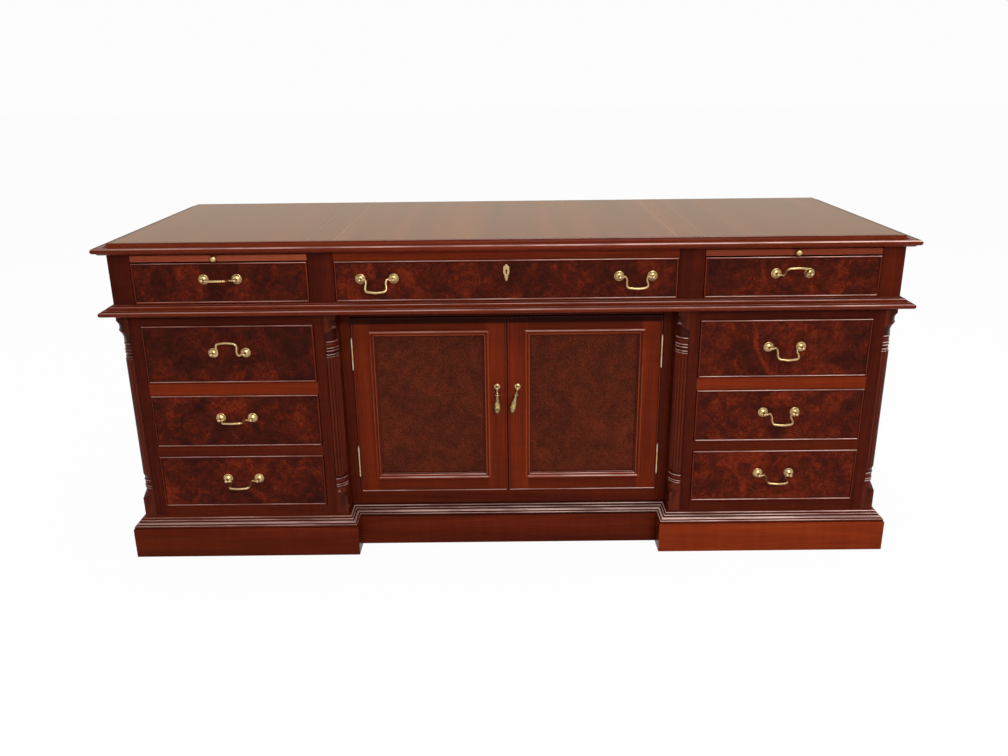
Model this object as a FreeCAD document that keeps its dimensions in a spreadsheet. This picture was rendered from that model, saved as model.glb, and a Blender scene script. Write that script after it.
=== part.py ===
import FreeCAD, Part
import math
import os

import Sketcher
from FreeCAD import Placement, Rotation, Vector

# A breakfront pedestal desk in mahogany and burr veneer: nine drawers, two writing
# slides and a two-door cupboard. Millimetres, +Z up, front towards -Y. The origin
# is on the floor, in the middle of the desk's footprint with its handles.

SIZES = (
    # the whole desk
    ("top_width", 1850, "desktop, left to right over its moulding"),
    ("top_depth", 700, "desktop, front to back over its moulding"),
    ("desk_height", 780, "floor to desktop"),
    ("overhang", 25, "desktop and plinth stand out this far past the carcass"),
    ("handle_room", 5, "the carcass stands this far behind the origin"),
    # desktop
    ("slab_thick", 24.5, "desktop thickness"),
    ("edge_width", 30, "moulded border of the desktop"),
    # frieze: the range of drawers under the desktop
    ("frieze_floor", 24, "floor board of the frieze"),
    ("frieze_stile", 50, "stile at each end of the frieze"),
    ("frieze_opening", 401, "opening of a small frieze drawer"),
    ("frieze_post", 58, "post beside the long drawer"),
    ("frieze_front", 96, "height of the frieze drawer openings"),
    ("waist_out", 28, "waist moulding stands out from the carcass"),
    ("waist_height", 23.5, "height of the waist moulding"),
    # pedestals
    ("pedestal_width", 504, "one pedestal"),
    ("outer_stile", 53, "front stile at the outer end"),
    ("inner_stile", 51, "front stile beside the cupboard"),
    ("bottom_rail", 24, "rail under the lowest drawer"),
    ("bottom_opening", 135, "height of the lowest drawer opening"),
    ("lower_rail", 23, "rail above the lowest drawer"),
    ("middle_opening", 133, "height of the middle drawer opening"),
    ("upper_rail", 29, "rail above the middle drawer"),
    ("top_rail", 27, "rail above the top drawer, whose opening takes what is left"),
    # boards
    ("board", 20, "thickness of ends, backs and partitions"),
    ("frame_thick", 27, "thickness of the front frame and of the corner columns"),
    ("floor_board", 18, "thickness of cupboard and pedestal floors"),
    ("field_deep", 6, "a panel's field lies this far behind its frame"),
    ("panel_stile", 62, "frame around a field on the ends and the back"),
    ("moulding_lap", 8, "panel moulding laps each side of the field's edge"),
    ("moulding_out", 6, "panel moulding stands out from the frame"),
    # cupboard between the pedestals
    ("recess", 57, "cupboard front lies this far behind the pedestals"),
    ("cupboard_stile", 24, "stile on each side of the doors"),
    ("cupboard_rail", 30.5, "rail under the doors"),
    ("door_head", 26, "rail above the doors"),
    ("door_thick", 22, "door and cupboard frame"),
    ("door_stile", 49.5, "upright of a door frame"),
    ("door_rail", 42, "top and bottom of a door frame"),
    ("door_gap", 1, "gap around a door"),
    ("panel_thick", 8, "door panel"),
    ("shelf_height", 345, "floor to the top of the cupboard shelf"),
    ("shelf_setback", 60, "shelf stands back from the cupboard front"),
    # plinth
    ("plinth_height", 102, "floor to the carcass"),
    ("plinth_thick", 22, "thickness of the plinth boards behind the carcass face"),
    # corner columns
    ("reed_radius", 3.3, "one reed, from its middle to a flat"),
    ("reed_circle", 23.3, "circle of the reeds' centres"),
    ("stop_up", 47, "point of the lower stop above the plinth"),
    ("stop_height", 56, "lower stop"),
    ("corbel_down", 15, "head of the corbel below the frieze"),
    ("corbel_height", 90, "corbel above the reeds"),
    # drawers
    ("front_thick", 20, "drawer front"),
    ("front_gap", 1, "gap around a drawer front"),
    ("bead_width", 4.5, "cock bead"),
    ("bead_out", 2.5, "cock bead stands out from the drawer front"),
    ("box_behind", 50, "room between a drawer box and the back board"),
    ("box_side", 12, "sides and back of a drawer box"),
    ("box_bottom", 6, "bottom board of a drawer box"),
    ("box_clear", 3, "a drawer box is this much narrower on each side than its opening"),
    ("box_lower", 25, "a pedestal drawer box is this much lower than its opening"),
    ("frieze_box_lower", 18, "a frieze drawer box is this much lower than its opening"),
    ("bottom_up", 8, "drawer bottom above the lower edge of the sides"),
    ("slide_fit", 0.3, "running gap of drawers and slides"),
    ("runner_wide", 50, "drawer runner"),
    ("runner_high", 16, "drawer runner"),
    ("guide_high", 14, "guide beside a drawer box"),
    # writing slides
    ("slide_thick", 15.5, "writing slide"),
    ("slide_up", 1.5, "writing slide above the drawer opening"),
    ("slide_over", 3.5, "room between a writing slide and the desktop"),
    ("slide_length", 400, "writing slide, front to back"),
    ("slide_runner", 12, "height of the strip that carries a writing slide"),
    ("knob_radius", 8, "knob of a writing slide"),
    ("knob_shift", 7.5, "knob of a writing slide, outwards from the slide's middle"),
    ("knob_out", 15, "knob of a writing slide"),
    # swan-neck handles
    ("pull_centres", 75.5, "between the two posts of a handle"),
    ("rosette_radius", 11.5, "rosette of a handle post"),
    ("pivot_out", 18, "handle pin in front of the drawer"),
    ("post_head", 4, "head of a handle post"),
    ("pin_radius", 1.2, "pin of a handle"),
    ("pin_fit", 0.05, "running clearance of the pins"),
    ("bail_wire", 2, "handle wire radius"),
    ("bail_neck", 21.7, "half the width of the handle's neck"),
    ("bail_foot", 24.6, "half the width of the handle's foot"),
    ("bail_drop", 30, "pin to the middle of the handle's foot"),
    ("bail_bow", 2.5, "bow of the handle's foot"),
    ("bail_rise", 2, "the wire rises this far past its pins before it turns down"),
    ("bail_shoulder", 1.4, "gap between a handle's shoulder and its post"),
    ("frieze_pull_up", 9, "handle pins above the middle of a frieze drawer's opening"),
    ("long_pull_x", 293.7, "long drawer's handles, from the middle"),
    ("long_pull_up", 6.5, "the same, long drawer"),
    ("top_pull_up", 5, "the same, top drawers"),
    ("middle_pull_up", 9, "the same, middle drawers"),
    ("bottom_pull_up", 7.5, "the same, bottom drawers"),
    # how far each handle is swung up from hanging, in degrees
    ("swing_left_frieze", 100, "left frieze drawer"),
    ("swing_long_left", 31, "long drawer, left handle"),
    ("swing_long_right", 45, "long drawer, right handle"),
    ("swing_right_frieze", 131, "right frieze drawer"),
    ("swing_left_top", 172, "left pedestal"),
    ("swing_left_middle", 96, "left pedestal"),
    ("swing_left_bottom", 77, "left pedestal"),
    ("swing_right_top", 45, "right pedestal"),
    ("swing_right_middle", 52, "right pedestal"),
    ("swing_right_bottom", 73, "right pedestal"),
    # lock of the long drawer
    ("plate_width", 14.5, "keyhole plate"),
    ("plate_height", 38, "keyhole plate"),
    ("plate_thick", 1.2, "keyhole plate"),
    ("lock_width", 60, "lock case"),
    ("lock_height", 34, "lock case"),
    ("lock_thick", 13, "lock case"),
    ("keyhole_up", 22, "keyhole above the middle of the long drawer's opening"),
    ("keyhole_radius", 2.4, "round part of the keyhole"),
    # drops of the doors
    ("drop_x", 24.7, "drop post from the meeting edge"),
    ("drop_up", 50.25, "drop post above the middle of its door"),
    ("drop_out", 13, "drop pin in front of the door"),
    ("drop_rosette", 7.5, "rosette of a drop post"),
    ("drop_length", 66, "pin to the tip of a drop"),
    ("drop_radius", 8.7, "drop at its widest"),
    ("drop_fork", 3.4, "slot of the drop post"),
    ("drop_tang", 2.4, "tang of the drop in the slot"),
    ("right_drop_turn", 12.6, "turn of the right drop post on its screw, in degrees"),
    # butt hinges
    ("hinge_length", 75, "knuckles of a hinge"),
    ("hinge_radius", 3, "knuckles of a hinge"),
    ("hinge_pin", 1.3, "hinge pin radius"),
    ("finial", 5.4, "ball finial of a hinge, beyond its knuckles"),
    ("finial_radius", 2.1, "ball finial of a hinge"),
    ("hinge_out", 1, "hinge pin in front of the door face"),
    ("leaf_thick", 1.2, "hinge leaf"),
    ("leaf_deep", 18, "hinge leaf, from the pin to its back edge"),
    ("hinge_up", 84, "middle of the lower hinge above the foot of its door"),
    ("hinge_down", 90.5, "middle of the upper hinge below the head of its door"),
)

DOC = FreeCAD.newDocument("PedestalDesk")
SHEET = DOC.addObject("Spreadsheet::Sheet", "Dimensions")
NODES = []


def as_size(item):
    return item if isinstance(item, Size) else Size(float(item), f"{float(item)}")


class Size:
    """A length with its number and the formula that gives it from the sheet."""

    def __init__(self, value, formula):
        self.value = value
        self.formula = formula

    def __add__(self, other):
        other = as_size(other)
        return Size(self.value + other.value, f"({self.formula} + {other.formula})")

    def __sub__(self, other):
        other = as_size(other)
        return Size(self.value - other.value, f"({self.formula} - {other.formula})")

    def __mul__(self, factor):
        factor = as_size(factor)
        return Size(self.value * factor.value, f"({self.formula} * {factor.formula})")

    def __rsub__(self, other):
        return as_size(other) - self

    def __neg__(self):
        return self * -1

    __radd__ = __add__
    __rmul__ = __mul__


class Dimensions:
    """The sheet's cells by name, each as a Size."""


def fill_sheet():
    for row, (alias, value, note) in enumerate(SIZES, start=1):
        SHEET.set(f"A{row}", alias)
        SHEET.set(f"B{row}", str(value))
        SHEET.set(f"C{row}", note)
        SHEET.setAlias(f"B{row}", alias)
    DOC.recompute()
    for alias, _, _ in SIZES:
        setattr(Dimensions, alias, Size(float(SHEET.get(alias)), f"Dimensions.{alias}"))


fill_sheet()
d = Dimensions

# ---------------------------------------------------------------- places
# Planes that several pieces share, each worked out once.

half_width = d.top_width * 0.5 - d.overhang
half_depth = d.top_depth * 0.5 - d.overhang
front_y = d.handle_room - half_depth
back_y = d.handle_room + half_depth
cupboard_y = front_y + d.recess
frame_back_y = front_y + d.frame_thick
rear_board_y = back_y - d.board

slab_bottom = d.desk_height - d.slab_thick
slide_bottom = slab_bottom - d.slide_over - d.slide_thick
frieze_head = slide_bottom - d.slide_up
frieze_deck = frieze_head - d.frieze_front
frieze_bottom = frieze_deck - d.frieze_floor
frieze_middle = frieze_deck + d.frieze_front * 0.5
keyhole_z = frieze_middle + d.keyhole_up
inner_x = half_width - d.pedestal_width
opening_out_x = half_width - d.outer_stile
opening_in_x = inner_x + d.inner_stile
column_in_x = inner_x + d.frame_thick
column_out_x = half_width - d.frame_thick
stile_x = inner_x - d.cupboard_stile
frieze_out_x = half_width - d.frieze_stile
frieze_in_x = frieze_out_x - d.frieze_opening
post_x = frieze_in_x - d.frieze_post
partition_x = frieze_in_x - d.frieze_post * 0.5 - d.board * 0.5

bottom_z = d.plinth_height + d.bottom_rail
middle_z = bottom_z + d.bottom_opening + d.lower_rail
top_z = middle_z + d.middle_opening + d.upper_rail
top_opening = frieze_bottom - d.top_rail - top_z
deck_z = d.plinth_height + d.floor_board

door_bottom = d.plinth_height + d.cupboard_rail + d.door_gap
door_top = frieze_bottom - d.door_head - d.door_gap
drop_z = (door_bottom + door_top) * 0.5 + d.drop_up
hinge_heights = (("low", door_bottom + d.hinge_up), ("high", door_top - d.hinge_down))
door_edge_x = stile_x - d.door_gap
hinge_x = stile_x - d.door_gap * 0.5
hinge_y = cupboard_y - d.hinge_out

stop_bottom = d.plinth_height + d.stop_up
shaft_bottom = stop_bottom + d.stop_height
corbel_top = frieze_bottom - d.corbel_down
shaft_top = corbel_top - d.corbel_height
SIDES = {"left": -1, "right": 1}


# ---------------------------------------------------------------- helpers
def tie(item, path, size):
    """Binds a property to the sheet, or sets it where it is a plain number."""
    if isinstance(size, Size):
        item.setExpression(path, size.formula)
    else:
        item.setExpression(path, f"{float(size)}")


def place(item, x=0, y=0, z=0):
    for axis, size in zip("xyz", (x, y, z)):
        tie(item, f"Placement.Base.{axis}", size)
    return item


def in_order(pair):
    return sorted((as_size(item) for item in pair), key=lambda item: item.value)


def mirrored(pair, sign):
    return pair[0] * sign, pair[1] * sign


def board(name, x, y, z):
    """A board between two places on each axis, given in either order."""
    box = DOC.addObject("Part::Box", name)
    for axis, side, pair in zip("xyz", ("Length", "Width", "Height"), (x, y, z)):
        low, high = in_order(pair)
        tie(box, side, high - low)
        tie(box, f"Placement.Base.{axis}", low)
    return box


def node(item, name):
    item.Label = name
    NODES.append(item)
    return item


def group(name, pieces):
    """A node of separate solids."""
    compound = DOC.addObject("Part::Compound", name)
    compound.Links = pieces
    return node(compound, name)


def cut(name, base, tools):
    """The base with recesses the shape of the tools."""
    tool = DOC.addObject("Part::Compound", f"{name}_tools")
    tool.Links = tools
    result = DOC.addObject("Part::Cut", name)
    result.Base = base
    result.Tool = tool
    return result


def copy_of(item, name, x=0, y=0, z=0, axis=Vector(0, 0, 1), turn=0):
    """The same piece again, elsewhere and turned about an axis of its own."""
    link = DOC.addObject("App::Link", name)
    link.LinkedObject = item
    angle = as_size(turn)
    link.Placement = Placement(Vector(), Rotation(axis, angle.value or 360))
    if angle.value:
        tie(link, "Placement.Rotation.Angle", angle)
    return place(link, x, y, z)


def new_body(name):
    return DOC.addObject("PartDesign::Body", name)


def origin_feature(body, role):
    return next(f for f in body.Origin.OriginFeatures if f.Role == role)


def new_sketch(body, name, role, offset=0):
    """A sketch on one of the body's origin planes, moved along its normal."""
    sketch = body.newObject("Sketcher::SketchObject", f"{body.Name}_{name}")
    sketch.AttachmentSupport = [(origin_feature(body, role), "")]
    sketch.MapMode = "FlatFace"
    tie(sketch, "AttachmentOffset.Base.z", offset)
    return sketch


def pin_point(sketch, geometry, end, u, v):
    """Dimensions a point from the sketch's origin, or puts it on an axis."""
    for size, kind, axis in ((u, "DistanceX", -2), (v, "DistanceY", -1)):
        size = as_size(size)
        if size.formula == "0.0":
            sketch.addConstraint(
                Sketcher.Constraint("PointOnObject", geometry, end, axis)
            )
            continue
        row = sketch.addConstraint(
            Sketcher.Constraint(kind, -1, 1, geometry, end, size.value)
        )
        sketch.setExpression(f"Constraints[{row}]", size.formula)


def arc_between(start, end, radius):
    """An arc of less than half a turn. A positive radius bulges to the right."""
    chord = end - start
    reach = abs(radius)
    rise = math.sqrt(max(reach**2 - (chord.Length / 2) ** 2, 0))
    to_centre = Vector(-chord.y, chord.x, 0).normalize() * rise
    centre = (start + end) * 0.5 + (to_centre if radius > 0 else to_centre * -1)
    circle = Part.Circle(centre, Vector(0, 0, 1), reach)
    first, last = (start, end) if radius > 0 else (end, start)
    a = math.atan2(first.y - centre.y, first.x - centre.x)
    b = math.atan2(last.y - centre.y, last.x - centre.x)
    return Part.ArcOfCircle(circle, a, b if b > a else b + 2 * math.pi)


def outline(sketch, points):
    """A closed outline through points (u, v), counter-clockwise. A third value is
    the radius of the arc from that point to the next; a negative arc is hollow."""
    first = sketch.GeometryCount
    count = len(points)
    spots = [Vector(as_size(p[0]).value, as_size(p[1]).value, 0) for p in points]
    bends = [as_size(p[2]) if len(p) > 2 else None for p in points]
    ends = []
    for i, bend in enumerate(bends):
        start, end = spots[i], spots[(i + 1) % count]
        if bend is None:
            sketch.addGeometry(Part.LineSegment(start, end), False)
        else:
            sketch.addGeometry(arc_between(start, end, bend.value), False)
        ends.append((2, 1) if bend is not None and bend.value < 0 else (1, 2))
    for i in range(count):
        after = (i + 1) % count
        sketch.addConstraint(
            Sketcher.Constraint(
                "Coincident", first + i, ends[i][1], first + after, ends[after][0]
            )
        )
    for i, point in enumerate(points):
        pin_point(sketch, first + i, ends[i][0], point[0], point[1])
        if bends[i] is not None:
            row = sketch.addConstraint(
                Sketcher.Constraint("Radius", first + i, abs(bends[i].value))
            )
            hollow = bends[i].value < 0
            size = -bends[i] if hollow else bends[i]
            sketch.setExpression(f"Constraints[{row}]", size.formula)
    return [f"Edge{first + i + 1}" for i in range(count)]


def rectangle(sketch, left, right, low, high):
    return outline(sketch, [(left, low), (right, low), (right, high), (left, high)])


def regular(sketch, u, v, sides, flat, start=0):
    """A regular outline about (u, v). flat is the distance from there to the middle
    of a side, and start is the angle of the first corner, in turns."""
    corner = flat * (1 / math.cos(math.pi / sides))
    angles = [2 * math.pi * (start + i / sides) for i in range(sides)]
    points = [(u + corner * math.cos(a), v + corner * math.sin(a)) for a in angles]
    return outline(sketch, points)


def circle(sketch, u, v, radius):
    radius = as_size(radius)
    centre = Vector(as_size(u).value, as_size(v).value, 0)
    index = sketch.addGeometry(
        Part.Circle(centre, Vector(0, 0, 1), radius.value), False
    )
    pin_point(sketch, index, 3, u, v)
    row = sketch.addConstraint(Sketcher.Constraint("Radius", index, radius.value))
    sketch.setExpression(f"Constraints[{row}]", radius.formula)


def straight_path(sketch, points):
    """An open path of straight runs."""
    spots = [Vector(as_size(u).value, as_size(v).value, 0) for u, v in points]
    last = len(spots) - 2
    for i, (start, end) in enumerate(zip(spots, spots[1:])):
        sketch.addGeometry(Part.LineSegment(start, end), False)
        if i:
            sketch.addConstraint(Sketcher.Constraint("Coincident", i - 1, 2, i, 1))
        pin_point(sketch, i, 1, *points[i])
    pin_point(sketch, last, 2, *points[-1])
    return [f"Edge{i + 1}" for i in range(last + 1)]


def feature(body, kind, name, sketch):
    item = body.newObject(f"PartDesign::{kind}", f"{body.Name}_{name}")
    item.Profile = sketch
    return item


def pad(body, name, sketch, length, backwards=False):
    item = feature(body, "Pad", name, sketch)
    tie(item, "Length", length)
    item.Reversed = backwards
    return item


def pocket(body, name, sketch, depth, backwards=False):
    item = feature(body, "Pocket", name, sketch)
    tie(item, "Length", depth)
    item.Reversed = backwards
    return item


def run_moulding(body, name, section, path, edges):
    """Runs a section along a path, with mitred corners."""
    item = feature(body, "AdditivePipe", name, section)
    item.Spine = (path, edges)
    item.Transition = "Right corner"
    return item


def many_sided(body, name, axis, sides, radius, start):
    """A regular outline round the body's Y or Z axis, with a flat facing down or to
    the front. The radius is to the middle of a flat."""
    role = {"Y": "XZ_Plane", "Z": "XY_Plane"}[axis]
    sketch = new_sketch(body, name, role, start)
    return sketch, regular(sketch, 0, 0, sides, radius, -0.25 - 0.5 / sides)


def flat_turning(body, name, axis, sides, core, rod, *shapes):
    """A turned shape with flat sides, which keeps small brass light: a rod from
    start to end along -Y or +Z, and shapes on it, each a list of (radius, distance
    along the axis)."""
    path, edges = many_sided(body, f"{name}_core", axis, sides, core, rod[0])
    pad(body, f"{name}_rod", path, rod[1] - rod[0])
    for i, shape in enumerate(shapes):
        section = new_sketch(body, f"{name}_section_{i}", "YZ_Plane")
        points = list(shape)
        if points[0][0] is not core:
            points.insert(0, (core, points[0][1]))
        if points[-1][0] is not core:
            points.append((core, points[-1][1]))
        along_y = axis == "Y"
        outline(section, [(-h, -r) if along_y else (-r, h) for r, h in points])
        run_moulding(body, f"{name}_{i}", section, path, edges)


def shares(points, out, up):
    """Points of a moulding's section, given as shares of how far it stands out and
    how high it is. An arc's radius is a share of the height."""
    return [(p[0] * out, p[1] * up, *(share * up for share in p[2:])) for p in points]


def reversed_section(points):
    """The same outline the other way round, with each arc kept on its own run."""
    places = reversed(range(len(points)))
    return [(*points[i][:2], *points[i - 1][2:]) for i in places]


# ---------------------------------------------------------------- desktop
# Shares of the border's width, from the tip inwards, and of the slab's thickness,
# from the underside up: small cove, bullnose, groove, long cove and fillet.
TOP_EDGE = (
    (1.0, 0.0),
    (1.0, 1.0),
    (0.93, 1.0),
    (0.93, 0.88, -1.4),
    (0.3, 0.65),
    (0.24, 0.62),
    (0.2, 0.67, 0.26),
    (0.0, 0.42, 0.26),
    (0.2, 0.16),
    (0.34, 0.16),
    (0.42, 0.0),
)


def make_desktop():
    body = new_body("desktop")
    half_x = d.top_width * 0.5 - d.edge_width
    half_y = d.top_depth * 0.5 - d.edge_width
    core = new_sketch(body, "core", "XY_Plane")
    edges = rectangle(core, -half_x, half_x, -half_y, half_y)
    pad(body, "board", core, d.slab_thick)
    section = new_sketch(body, "section", "YZ_Plane")
    tip = -half_y - d.edge_width
    outline(
        section,
        [
            (tip + p[0] * d.edge_width, *(share * d.slab_thick for share in p[1:]))
            for p in reversed_section(TOP_EDGE)
        ],
    )
    run_moulding(body, "border", section, core, edges)
    place(body, 0, d.handle_room, slab_bottom)
    return node(body, "desktop")


# ---------------------------------------------------------------- waist moulding
# Shares of how far it stands out and of its height: bullnose, fillet and ogee.
WAIST = (
    (0.0, 0.0),
    (0.8, 0.0, 0.26),
    (1.0, 0.25, 0.26),
    (0.8, 0.5),
    (0.74, 0.52),
    (0.74, 0.58, -1.2),
    (0.12, 0.93),
    (0.12, 1.0),
    (0.0, 1.0),
)


def carcass_rectangle(sketch):
    return rectangle(sketch, -half_width, half_width, -half_depth, half_depth)


def make_waist():
    body = new_body("waist_moulding")
    path = new_sketch(body, "path", "XY_Plane")
    edges = carcass_rectangle(path)
    section = new_sketch(body, "section", "YZ_Plane")
    points = shares(reversed_section(WAIST), d.waist_out, d.waist_height)
    outline(section, [(-half_depth - p[0], *p[1:]) for p in points])
    run_moulding(body, "run", section, path, edges)
    place(body, 0, d.handle_room, frieze_bottom)
    return node(body, "waist_moulding")


# ---------------------------------------------------------------- plinth
# Shares of the overhang and of the plinth's height: board, bead, cove, and two
# smaller beads that step back to the carcass.
PLINTH = (
    (0.0, 0.0),
    (1.0, 0.0),
    (1.0, 0.745),
    (0.88, 0.77),
    (0.88, 0.81),
    (0.76, 0.826, -0.09),
    (0.48, 0.875),
    (0.44, 0.91),
    (0.32, 0.932),
    (0.28, 0.965),
    (0.0, 0.99),
    (0.0, 1.0),
)


def make_plinth():
    body = new_body("plinth_base")
    path = new_sketch(body, "path", "XY_Plane")
    break_y = d.recess - half_depth
    edges = outline(
        path,
        [
            (-half_width, -half_depth),
            (-inner_x, -half_depth),
            (-inner_x, break_y),
            (inner_x, break_y),
            (inner_x, -half_depth),
            (half_width, -half_depth),
            (half_width, half_depth),
            (-half_width, half_depth),
        ],
    )
    section = new_sketch(body, "section", "YZ_Plane")
    points = shares(reversed_section(PLINTH), d.overhang, d.plinth_height)
    inner = break_y + d.plinth_thick
    outer = [(break_y - p[0], *p[1:]) for p in points]
    outline(section, [*outer, (inner, 0), (inner, d.plinth_height)])
    run_moulding(body, "run", section, path, edges)
    place(body, 0, d.handle_room, 0)
    return node(body, "plinth_base")


# ---------------------------------------------------------------- corner columns
COLUMN_CORNER = 1.6  # beyond the post's own corner, in thicknesses
REEDS = 5
REED_PITCH = 90 / REEDS


def make_column_pattern():
    """A square post whose outer corner is cut to a reeded quarter column with
    rings, a corbel above and a pointed stop below. The column's axis is the
    inner edge of the post, which stands in front and to the left of it."""
    body = new_body("column_pattern")
    full = d.frame_thick
    plan = new_sketch(body, "plan", "XY_Plane", d.plinth_height)
    rectangle(plan, -full, 0, -full, 0)
    pad(body, "post", plan, frieze_bottom - d.plinth_height)
    core = d.reed_circle - 0.3
    path = new_sketch(body, "round", "XY_Plane")
    angles = [math.radians(180 + REED_PITCH * (i + 0.5)) for i in range(REEDS)]
    corner = core * (1 / math.cos(math.radians(REED_PITCH / 2)))
    spots = [(corner * math.cos(a), corner * math.sin(a)) for a in angles]
    edges = straight_path(path, [(-core, 0), *spots, (0, -core)])
    waste = new_sketch(body, "waste", "XZ_Plane")
    beyond = -full * COLUMN_CORNER
    rings = [(-radius, z) for radius, z in column_profile(core)]
    outline(waste, [(beyond, corbel_top), (beyond, stop_bottom), *rings])
    turning = feature(body, "SubtractivePipe", "turning", waste)
    turning.Spine = (path, edges)
    turning.Transition = "Right corner"
    reed = new_sketch(body, "reed", "XY_Plane", shaft_bottom)
    rod_u, rod_v = (d.reed_circle * f(angles[0]) for f in (math.cos, math.sin))
    regular(reed, rod_u, rod_v, 6, d.reed_radius, REED_PITCH * 0.5 / 360)
    rod = pad(body, "reed_rod", reed, shaft_top - shaft_bottom)
    DOC.recompute()
    pattern = body.newObject("PartDesign::PolarPattern", "column_reeds")
    pattern.Originals = [rod]
    pattern.Axis = (origin_feature(body, "Z_Axis"), [""])
    pattern.Angle = 90 - REED_PITCH
    pattern.Occurrences = REEDS
    body.Tip = pattern
    return body


def column_profile(core):
    """(radius, height) from the point of the stop up to the head of the corbel."""
    ring = d.frame_thick - 0.3
    collar = ring - 1
    corner = d.frame_thick * 1.43
    foot = d.stop_height
    head = d.corbel_height
    return [
        (corner, stop_bottom),
        (core + 1.5, shaft_bottom - foot * 0.72),
        (core, shaft_bottom - foot * 0.5),
        (ring, shaft_bottom - foot * 0.42),
        (ring, shaft_bottom - foot * 0.24),
        (core, shaft_bottom - foot * 0.16),
        (collar, shaft_bottom - foot * 0.09),
        (collar, shaft_bottom),
        (core, shaft_bottom),
        (core, shaft_top),
        (collar, shaft_top),
        (collar, shaft_top + head * 0.07),
        (core, shaft_top + head * 0.11),
        (ring, shaft_top + head * 0.16),
        (ring, shaft_top + head * 0.26),
        (core, shaft_top + head * 0.42),
        (ring + 3, corbel_top - head * 0.3),
        (ring + 6, corbel_top - head * 0.25),
        (ring + 4, corbel_top - head * 0.2),
        (corner, corbel_top),
    ]


def make_columns():
    pattern = make_column_pattern()
    corners = (
        ("far_left", -column_out_x, 0),
        ("inner_left", -column_in_x, 90),
        ("inner_right", column_in_x, 0),
        ("far_right", column_out_x, 90),
    )
    columns = [
        copy_of(pattern, f"column_{name}", x, frame_back_y, 0, turn=angle)
        for name, x, angle in corners
    ]
    return group("corner_columns", columns)


# ---------------------------------------------------------------- panels
# Section of the moulding round a panel's field, as shares of how far it laps
# and stands out: from the frame over two beads down to the field.
PANEL_MOULDING = (
    (-1.0, 0.0),
    (-0.9, 0.7),
    (-0.45, 1.0),
    (0.0, 0.75),
    (0.1, 0.35),
    (0.45, 0.5),
    (0.8, 0.1),
)


def fielded_board(name, width, height, thick, stile, rail, through=False):
    """A board that faces -Y and stands on its own origin, with a sunk field, or an
    opening for a panel, and a moulding round it."""
    body = new_body(name)
    half = width * 0.5
    face = new_sketch(body, "face", "XZ_Plane")
    rectangle(face, -half, half, 0, height)
    if through:
        rectangle(face, stile - half, half - stile, rail, height - rail)
    pad(body, "board", face, thick, backwards=True)
    field = new_sketch(body, "field", "XZ_Plane")
    edges = rectangle(field, stile - half, half - stile, rail, height - rail)
    if not through:
        pocket(body, "sunk_field", field, d.field_deep)
    section = new_sketch(body, "section", "YZ_Plane")
    points = [
        (-d.moulding_out * out, rail + d.moulding_lap * along)
        for along, out in PANEL_MOULDING
    ]
    points += [
        (d.field_deep, rail + d.moulding_lap),
        (d.field_deep, rail),
        (0, rail),
    ]
    outline(section, points)
    run_moulding(body, "moulding", section, field, edges)
    return body


def end_panel(side):
    """The pedestal's outer end, behind the corner column."""
    sign = SIDES[side]
    length = back_y - frame_back_y
    panel = fielded_board(
        f"{side}_end_panel",
        length,
        frieze_bottom - d.plinth_height,
        d.board,
        d.panel_stile,
        d.panel_stile,
    )
    panel.Placement = Placement(Vector(), Rotation(Vector(0, 0, 1), 90 * sign))
    return place(panel, half_width * sign, (back_y + frame_back_y) * 0.5, d.plinth_height)


def back_panel(name, edges):
    left, right = in_order(edges)
    panel = fielded_board(
        name,
        right - left,
        frieze_bottom - d.plinth_height,
        d.board,
        d.panel_stile,
        d.panel_stile,
    )
    panel.Placement = Placement(Vector(), Rotation(Vector(0, 0, 1), 180))
    return place(panel, (left + right) * 0.5, back_y, d.plinth_height)


# ---------------------------------------------------------------- pedestals
OPENINGS = {
    "bottom": (bottom_z, d.bottom_opening),
    "middle": (middle_z, d.middle_opening),
    "top": (top_z, top_opening),
}


def runners(name, sign, x_in, x_out, wall_in, wall_out, low):
    """Two runners under a drawer, and a guide on each beside the drawer box."""
    deep = (frame_back_y, rear_board_y)
    pieces = []
    for which, edge, wall, inward in (
        ("inner", x_in, wall_in, 1),
        ("outer", x_out, wall_out, -1),
    ):
        box_x = edge + d.box_clear * inward
        rail_x = wall + d.runner_wide * inward
        guide_x = box_x - d.slide_fit * inward
        pieces.append(
            board(
                f"{name}_{which}_runner",
                mirrored((wall, rail_x), sign),
                deep,
                (low - d.runner_high, low),
            )
        )
        pieces.append(
            board(
                f"{name}_{which}_guide",
                mirrored((wall, guide_x), sign),
                deep,
                (low, low + d.guide_high),
            )
        )
    return pieces


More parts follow.
